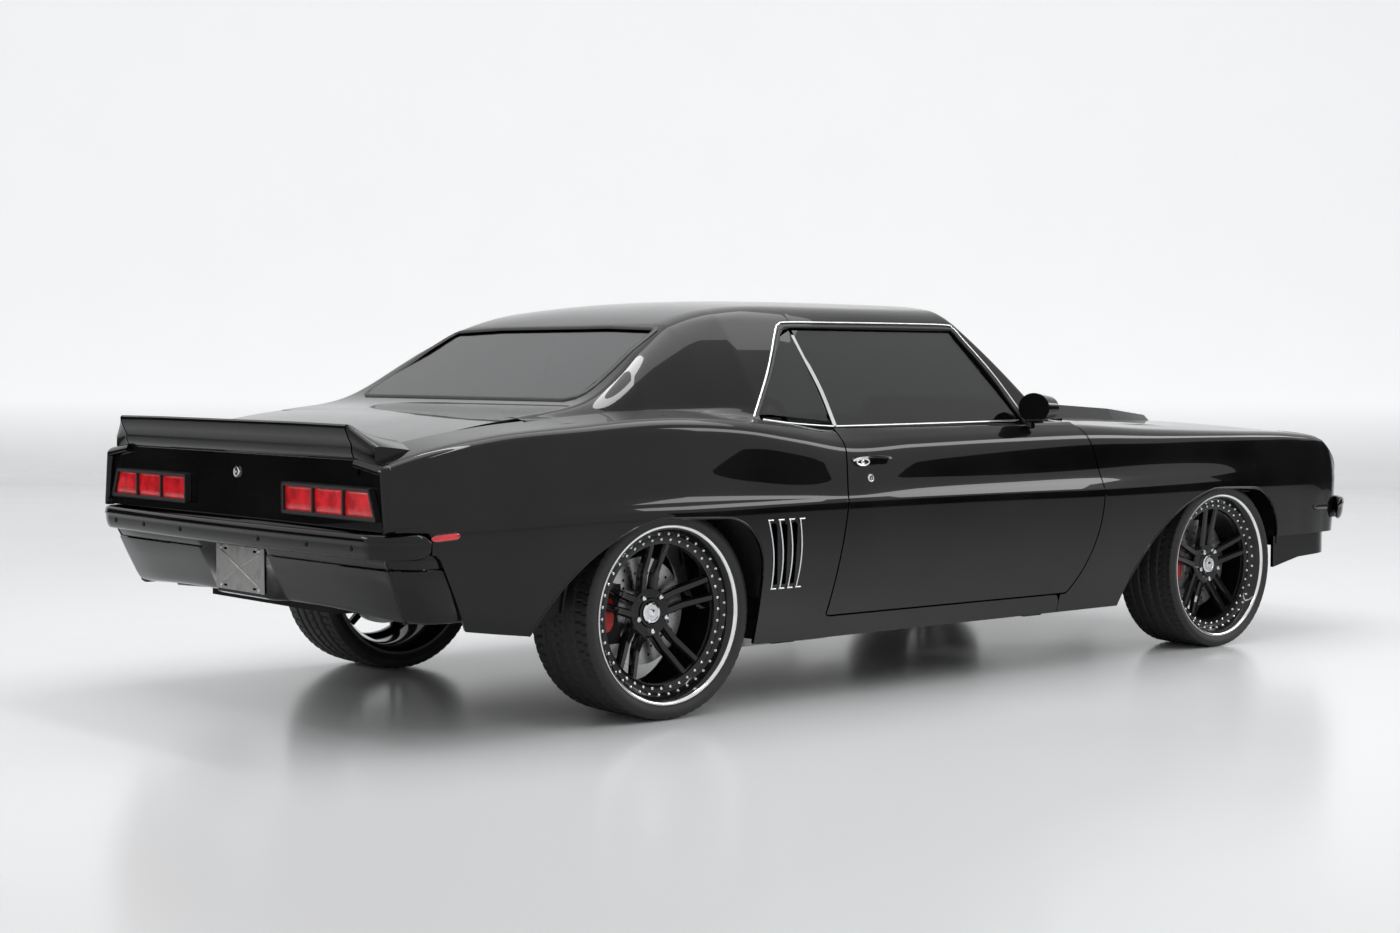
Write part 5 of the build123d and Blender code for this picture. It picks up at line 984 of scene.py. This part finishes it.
# tail lamps: fluted lenses, three to a side, each a shallow pillow in a window of the bezel
lamp = {"foot": 646.5, "head": 717.5, "first": 304.0, "pitch": 164.5, "width": 157.0, "slant": 28.8,
        "face": 2297.0, "back": 2289.0, "flute": 0.9, "pillow": 3.0, "bezel": (2306.0, 2287.0)}
lampOutline = [(294, 641), (299, 636), (800, 636), (804, 641), (770, 722), (764, 728), (299, 728), (294, 723)]
u, v = np.meshgrid(np.linspace(293, 805, 140), np.linspace(634, 730, 30))
bezel, triangles = pairedGrids(*(np.stack((u, np.full_like(u, y), v), -1) for y in lamp["bezel"]))
bezel, triangles = clipped(bezel, triangles, insideBy(lampOutline, bezel[:, 0], bezel[:, 2]) + 1e-4)
u, v = np.meshgrid(np.linspace(0, 1, 97), np.linspace(0, 1, 13))
pillow = lamp["pillow"] * (1 - (2 * u - 1) ** 6) * (1 - (2 * v - 1) ** 6)
flute = lamp["flute"] * np.abs(np.sin(u * math.pi * 24))
lenses = []
for k in range(3):
    start, slant = lamp["first"] + k * lamp["pitch"], lamp["slant"] * (k == 2)
    end = start + lamp["width"]
    x, z = start + (lamp["width"] - slant * v) * u, lamp["foot"] + (lamp["head"] - lamp["foot"]) * v
    lenses.append(plated(np.stack((x, lamp["face"] + pillow - flute, z), -1),
                         np.stack((x, np.full_like(x, lamp["back"]), z), -1)))
    window = [(start, lamp["foot"]), (end, lamp["foot"]), (end - slant, lamp["head"]), (start, lamp["head"])]
    bezel, triangles = clipped(bezel, triangles, -insideBy(window, bezel[:, 0], bezel[:, 2]) + 1e-4)
makePiece("tail_lamp_lenses", bothSides(joined(lenses)), "redLens", sharp=60)
bezels = bothSides(walled(bezel, triangles))
makePiece("tail_lamp_bezels", bezels, "trim", sharp=30, nodesStoodFor=["tail_lamps"])
ring = loopPath([(x, lamp["bezel"][0], z) for x, z in lampOutline], 5) / 1000
ring = swept(ring, ringSection(0.0018, 6), up=(0, 1, 0), closed=True)
makePiece("tail_lamp_rings", bothSides(ring), "bumperPaint")

# trunk lock, plate pressings and plate bolts
lock = np.array([(-4, 0.3), (-4, 17.5), (4, 17.5), (6.5, 15.5), (7, 12), (5.2, 10.5), (5.2, 4), (3.5, 2.5),
                 (3.5, 0.3)]) / 1000
makePiece("trunk_lock", moved(facingRear(lathe(lock, 32)), (0, 2.286, 0.745)), "chrome", sharp=40)
press = tube([(118, 2280.6, 402), (40, 2281.2, 435), (-40, 2281.2, 470), (-118, 2280.6, 502)], 2.2, 24)
plateBolt = facingRear(lathe(np.array([(-2, 0.3), (-2, 6.5), (1.2, 6.5), (3, 4), (3.3, 0.3)]) / 1000, 12))
plateBolts = repeated(plateBolt, np.array([(x, 2.2803, z) for x in (-0.115, 0.115) for z in (0.512, 0.392)]))
makePiece("plate_pressings", joined([bothSides(press), outward(plateBolts)]), "steel", sharp=45)

# door handles and locks: a black cup, a bright lever that stands off it, a thumb ring and the lock below
cup = roundBox((0.900, 0.428, 0.745), (0.9125, 0.585, 0.778), 0.015)
lever = smoothPath([(910, 588, 766), (922, 560, 774), (926, 510, 776), (924, 455, 774), (911, 418, 770)], 30)
leverSection = np.array([(-3, -4), (3, -4), (4.2, 0), (3, 4), (-3, 4), (-4.2, 0)]) / 1000
turn = np.linspace(0, 2 * math.pi, 28, endpoint=False)
thumb = np.stack((np.full(28, 0.9165), 0.549 + 0.027 * np.cos(turn), 0.7605 + 0.0105 * np.sin(turn)), 1)
padProfile = np.array([(-2, 0.3), (-2, 8.5), (2.5, 8.5), (4, 6), (4, 0.3)]) / 1000
pad = lathe(padProfile, 20, (0.9145, 0.549, 0.7605))
handle = joined([swept(lever / 1000, leverSection, up=(1, 0, 0)),
                 swept(thumb, ringSection(0.0036), up=(1, 0, 0), closed=True), outward(pad)])
doorLock = outward(lathe(lock * 0.8, 28, onSide([(515, 708)], 0.0)[0] / 1000))
for side in ("left", "right"):
    door = f"{side}_door"
    makePiece(f"door_handle_{side}_cup", sided(cup, side), "bodyPaint", door, 40, [f"door_handle_{side}"])
    makePiece(f"door_handle_{side}_lever", sided(handle, side), "chrome", door, 45)
    makePiece(f"door_lock_{side}", sided(doorLock, side), "chrome", door, 40)

# side marker lamps: a black rim and a coloured pad above each bumper tip
padSection = np.array([(4, -9), (5.2, -6), (5.6, 0), (5.2, 6), (4, 9), (-6, 9), (-6, -9)]) / 1000
rimSection = np.array([(0.5, -13), (4.2, -12), (4.2, 12), (0.5, 13), (-6, 12), (-6, -12)]) / 1000
rounded = np.array([0.35, 0.75, *([1] * 11), 0.75, 0.35])
for name, first, last, finish, proud, across in (
        ("rear", (2180, 590), (2094, 596), "redLens", 0.0, -1),
        ("front", (-2150, 509), (-2020, 513), "amberLens", 1.0, 1)):
    line = onSide(np.linspace(first, last, 15), proud) / 1000
    for part, section, look in (("lenses", padSection, finish), ("rims", rimSection, "trim")):
        made = swept(line, section * (across, 1), scale=rounded)
        makePiece(f"{name}_marker_{part}", bothSides(made), look, sharp=45)

# bright ribs between the gills, bowed like the slots, with a short return at head and foot
ribs = []
t = np.linspace(0, 1, 12)
ribHead, ribFoot = gills["headZ"] + 4, gills["footZ"] - 2
for k in range(gills["count"] + 1):
    head, foot = gills["headY"] - gills["headPitch"] * k, gills["footY"] - gills["ribFootPitch"] * k
    bowed = head + (foot - head) * t - 12 * np.sin(t * math.pi)
    line = onSide(np.stack((bowed, ribHead + (ribFoot - ribHead) * t), 1), 1.0)
    ribs.append(swept(line / 1000, ringSection(0.0026) * (1, 1.5), up=(1, 0, 0)))
    for y, z in ((head, ribHead), (foot, ribFoot)):
        ribs.append(swept(onSide([(y + 4, z), (y - 8, z), (y - 20, z)], 0.5) / 1000, ringSection(0.0028)))
makePiece("gill_ribs", bothSides(joined(ribs)), "chrome")

# rolled lips round the wheel openings
lips = []
for line in (frontArch[:-2], rearArch[:-2]):
    t = np.linspace(0, len(line) - 1, 90)
    yz = np.stack([np.interp(t, np.arange(len(line)), line[:, k]) for k in (0, 1)], 1)
    lips.append(swept(onSide(yz[yz[:, 1] > 285], -1.5) / 1000, ringSection(0.0045), up=(1, 0, 0)))
makePiece("arch_lips", bothSides(joined(lips)), "bodyPaint")

# collars close the boot: straight lines from the edge of each rear wheel house to the opening in the panel
collar = {"houseX": 822.0, "radius": 378.6, "centreY": 1316.0, "centreZ": 318.0, "inside": 15.0}
turn = np.radians(np.linspace(176, 5, 50))
houseEdge = np.stack((np.full(50, collar["houseX"]), collar["centreY"] + collar["radius"] * np.cos(turn),
                      collar["centreZ"] + collar["radius"] * np.sin(turn)), 1)
opening = np.vstack(([(979, 350)], rearArch[:-2]))
panelEdge = evenly(onSide(opening[opening[:, 1] > 285] + (0, 3), -collar["inside"]), 50)
t = np.linspace(0, 1, 9)[:, None]
band = houseEdge[:, None] * (1 - t) + panelEdge[:, None] * t
makePiece("rear_wheel_collars", bothSides(plated(band, band + facing(band) * 2)), "chassisPaint", sharp=40)


# glass surrounds: drip rail, belt mouldings, the strip between the side panes, and the back window's seal
def onCabin(places, proud):
    # points in millimetres on the side glass line and roof edge at each (y, z), moved outward
    places = np.asarray(places, float)
    x = np.interp(places[:, 1], sideLine[::-1, 1], sideLine[::-1, 0]) + proud
    return np.stack((x, places[:, 0], places[:, 1]), 1)


rail = [(938, 902), (800, 1053), (686, 1176), (652, 1203), (600, 1211), (384, 1213), (91, 1214), (-148, 1213),
        (-182, 1202), (-198, 1164), (-262, 1036), (-342, 878)]
seal = [(924, 902), (788, 1049), (674, 1170), (646, 1190), (600, 1196), (384, 1198), (91, 1199), (-150, 1198),
        (-172, 1188), (-186, 1156), (-250, 1028), (-326, 872)]
makePiece("drip_rails", bothSides(tube(onCabin(rail, 2.5), 3.4, 140)), "chrome")
makePiece("window_seals", bothSides(tube(onCabin(seal, 0.5), 5.0, 140)), "trim")
backPath = loopPath(np.vstack((backLine[1:-1], backLine[-2:0:-1] * (-1, 1))), 8)
behind = roofSkin[roofSkin[:, 0, 1] > 1000]
backY = []
for x, z in backPath:
    heights = [np.interp(abs(x), row[:, 0], row[:, 2]) for row in behind]
    backY.append(np.interp(-z, -np.array(heights), behind[:, 0, 1]) + 2)
sealPath = np.stack((backPath[:, 0], backY, backPath[:, 1]), 1) / 1000
sealShape = swept(sealPath, ringSection(0.0065) * (1.5, 0.8), up=(0, 0.5, 0.86), closed=True)
makePiece("rear_window_seal", sealShape, "trim")
quarterBelt = onCabin([(606, 874), (700, 880), (800, 888), (900, 900)], 3.0)
makePiece("quarter_mouldings", bothSides(tube(quarterBelt, 3.4)), "chrome")
belt = tube([(834, 592, 874), (836, 400, 875), (835, 100, 877), (832, -150, 879), (828, -300, 880)], 3.6)
stripPath = smoothPath([(829, 592, 872), (765, 594, 985), (696, 598, 1083), (636, 602, 1166)], 24) / 1000
stripSection = np.array([(-8, -3.5), (-8, 3.5), (0, 4.5), (8, 3.5), (8, -3.5), (0, -4.5)]) / 1000
strip = swept(stripPath, stripSection, up=(1, 0, 0.6))
for side in ("left", "right"):
    makePiece(f"belt_moulding_{side}", sided(belt, side), "chrome", f"{side}_door")
    makePiece(f"pane_strip_{side}", sided(strip, side), "chrome", f"{side}_door")
print("trim made")

# stage: a glossy pale floor that curves up into a backdrop, dark cards beside the car and soft boxes
stage = {"floorColour": (0.78, 0.79, 0.8), "flat": 19.5, "curve": 4.0, "wall": 14.0, "half": 30.0,
         "glow": 0.42, "surround": 0.86, "ambient": 0.58, "away": 40.6, "from": (-5.909, 5.514, 0)}
turn = np.linspace(0, math.pi / 2, 17)
run = stage["flat"] + stage["curve"] * np.sin(turn)
run = np.concatenate(([-24.0, 0.0], run, run[-1:]))
rise = np.concatenate(([0.0, 0.0], stage["curve"] * (1 - np.cos(turn)), [stage["wall"]]))
away = math.radians(stage["away"])
ahead, aside = np.array((math.cos(away), -math.sin(away), 0)), np.array((-math.sin(away), -math.cos(away), 0))
points = (np.array(stage["from"]) + run[:, None, None] * ahead + rise[:, None, None] * np.array((0, 0, 1))
          + np.array((-stage["half"], stage["half"]))[None, :, None] * aside)
f = Finish("pale_floor")
swirl = f.noise(1.5, 4.0)
height = f.node("ShaderNodeSeparateXYZ", None, {"Vector": f.place}, out=2)
pale = stage["floorColour"]
tone = f.blend(f.between(swirl, 0.3, 0.7), pale, tuple(c * 0.98 for c in pale))
floorFinish = f.close(
    Base_Color=tone, Roughness=0.16 + swirl * 0.08 + f.between(height, 0.0, 0.6) * 0.6, IOR=1.4,
    Emission_Strength=stage["glow"],
    Emission_Color=f.blend(f.between(height, 0.0, 0.7), (0.0, 0.0, 0.0), (1.0, 1.0, 1.0)))
floor = newObject("floor", newMesh("floor", gridShape(points), floorFinish))
floor.data.shade_smooth()
cards = {"sideCard": ((-12.0, -7.6), (-1.2, -9.4), 2.5), "rearCard": ((7.5, 3.4), (6.0, 12.0), 2.3)}
f = Finish("dark_card")
tone = f.blend(f.noise(2.0, 3.0), (0.012, 0.012, 0.012), (0.02, 0.02, 0.02))
cardFinish = f.close(Base_Color=tone, Roughness=0.95)
for name, (a, b, tall) in cards.items():
    sheet = np.array([[(*a, 0), (*b, 0)], [(*a, tall), (*b, tall)]])
    card = newObject(name, newMesh(name, gridShape(sheet), cardFinish))
    card.visible_camera = False

# surround: rays from the camera, mirror-like rays and rays through glass see a brighter white than the rest
world = bpy.data.worlds.new("surround")
bpy.context.scene.world = world
w = Nodes(world)
rays = w.node("ShaderNodeLightPath").link.node.outputs
camera, glossy, through = (Socket(w, rays[f"Is {kind} Ray"]) for kind in ("Camera", "Glossy", "Transmission"))
level = w.node("ShaderNodeMapRange", None, {
    "Value": camera + glossy + through, "To Min": stage["ambient"], "To Max": stage["surround"]})
background = w.node("ShaderNodeBackground", None, {"Color": (1.0, 1.0, 1.0, 1.0), "Strength": level})
w.tree.links.new(background.link, w.tree.nodes.new("ShaderNodeOutputWorld").inputs["Surface"])

lamps = {  # place, aim, width, depth, watts
    "ceilingBox": ((0.0, 0.4, 4.6), (0.0, 0.3, 0.5), 3.4, 6.4, 125.0),
    "sideBox": ((-5.4, -7.4, 4.6), (-0.6, 0.2, 0.7), 7.5, 1.7, 250.0),
    "topStrip": ((-1.5, 0.6, 4.4), (-0.9, 0.6, 0.5), 0.22, 7.0, 60.0),
    "rearStrip": ((3.6, 7.4, 3.6), (0.0, 1.8, 0.8), 3.6, 1.0, 60.0),
}
for name, (place, aim, width, depth, watts) in lamps.items():
    data = bpy.data.lights.new(name, "AREA")
    data.shape, data.size, data.size_y, data.energy = "RECTANGLE", width, depth, watts
    box = newObject(name, data)
    box.location = place
    box.rotation_euler = (Vector(aim) - Vector(place)).to_track_quat("-Z", "Y").to_euler()

# camera: turned by yaw, pitch and roll in degrees, with a lens in millimetres
view = {"place": (-5.909, 5.514, 1.064), "yaw": 49.42, "pitch": -2.606, "roll": 0.167, "lens": 56.34}
camera = newObject("camera", bpy.data.cameras.new("camera"))
camera.data.lens = view["lens"]
camera.data.sensor_width = 36.0
camera.matrix_world = (
    Matrix.Translation(view["place"])
    @ Matrix.Rotation(math.radians(180 + view["yaw"]), 4, "Z")
    @ Matrix.Rotation(math.radians(90 + view["pitch"]), 4, "X")
    @ Matrix.Rotation(math.radians(view["roll"]), 4, "Z"))
bpy.context.scene.camera = camera
bpy.context.scene.view_settings.view_transform = "Standard"
print("stage, lamps and camera set")
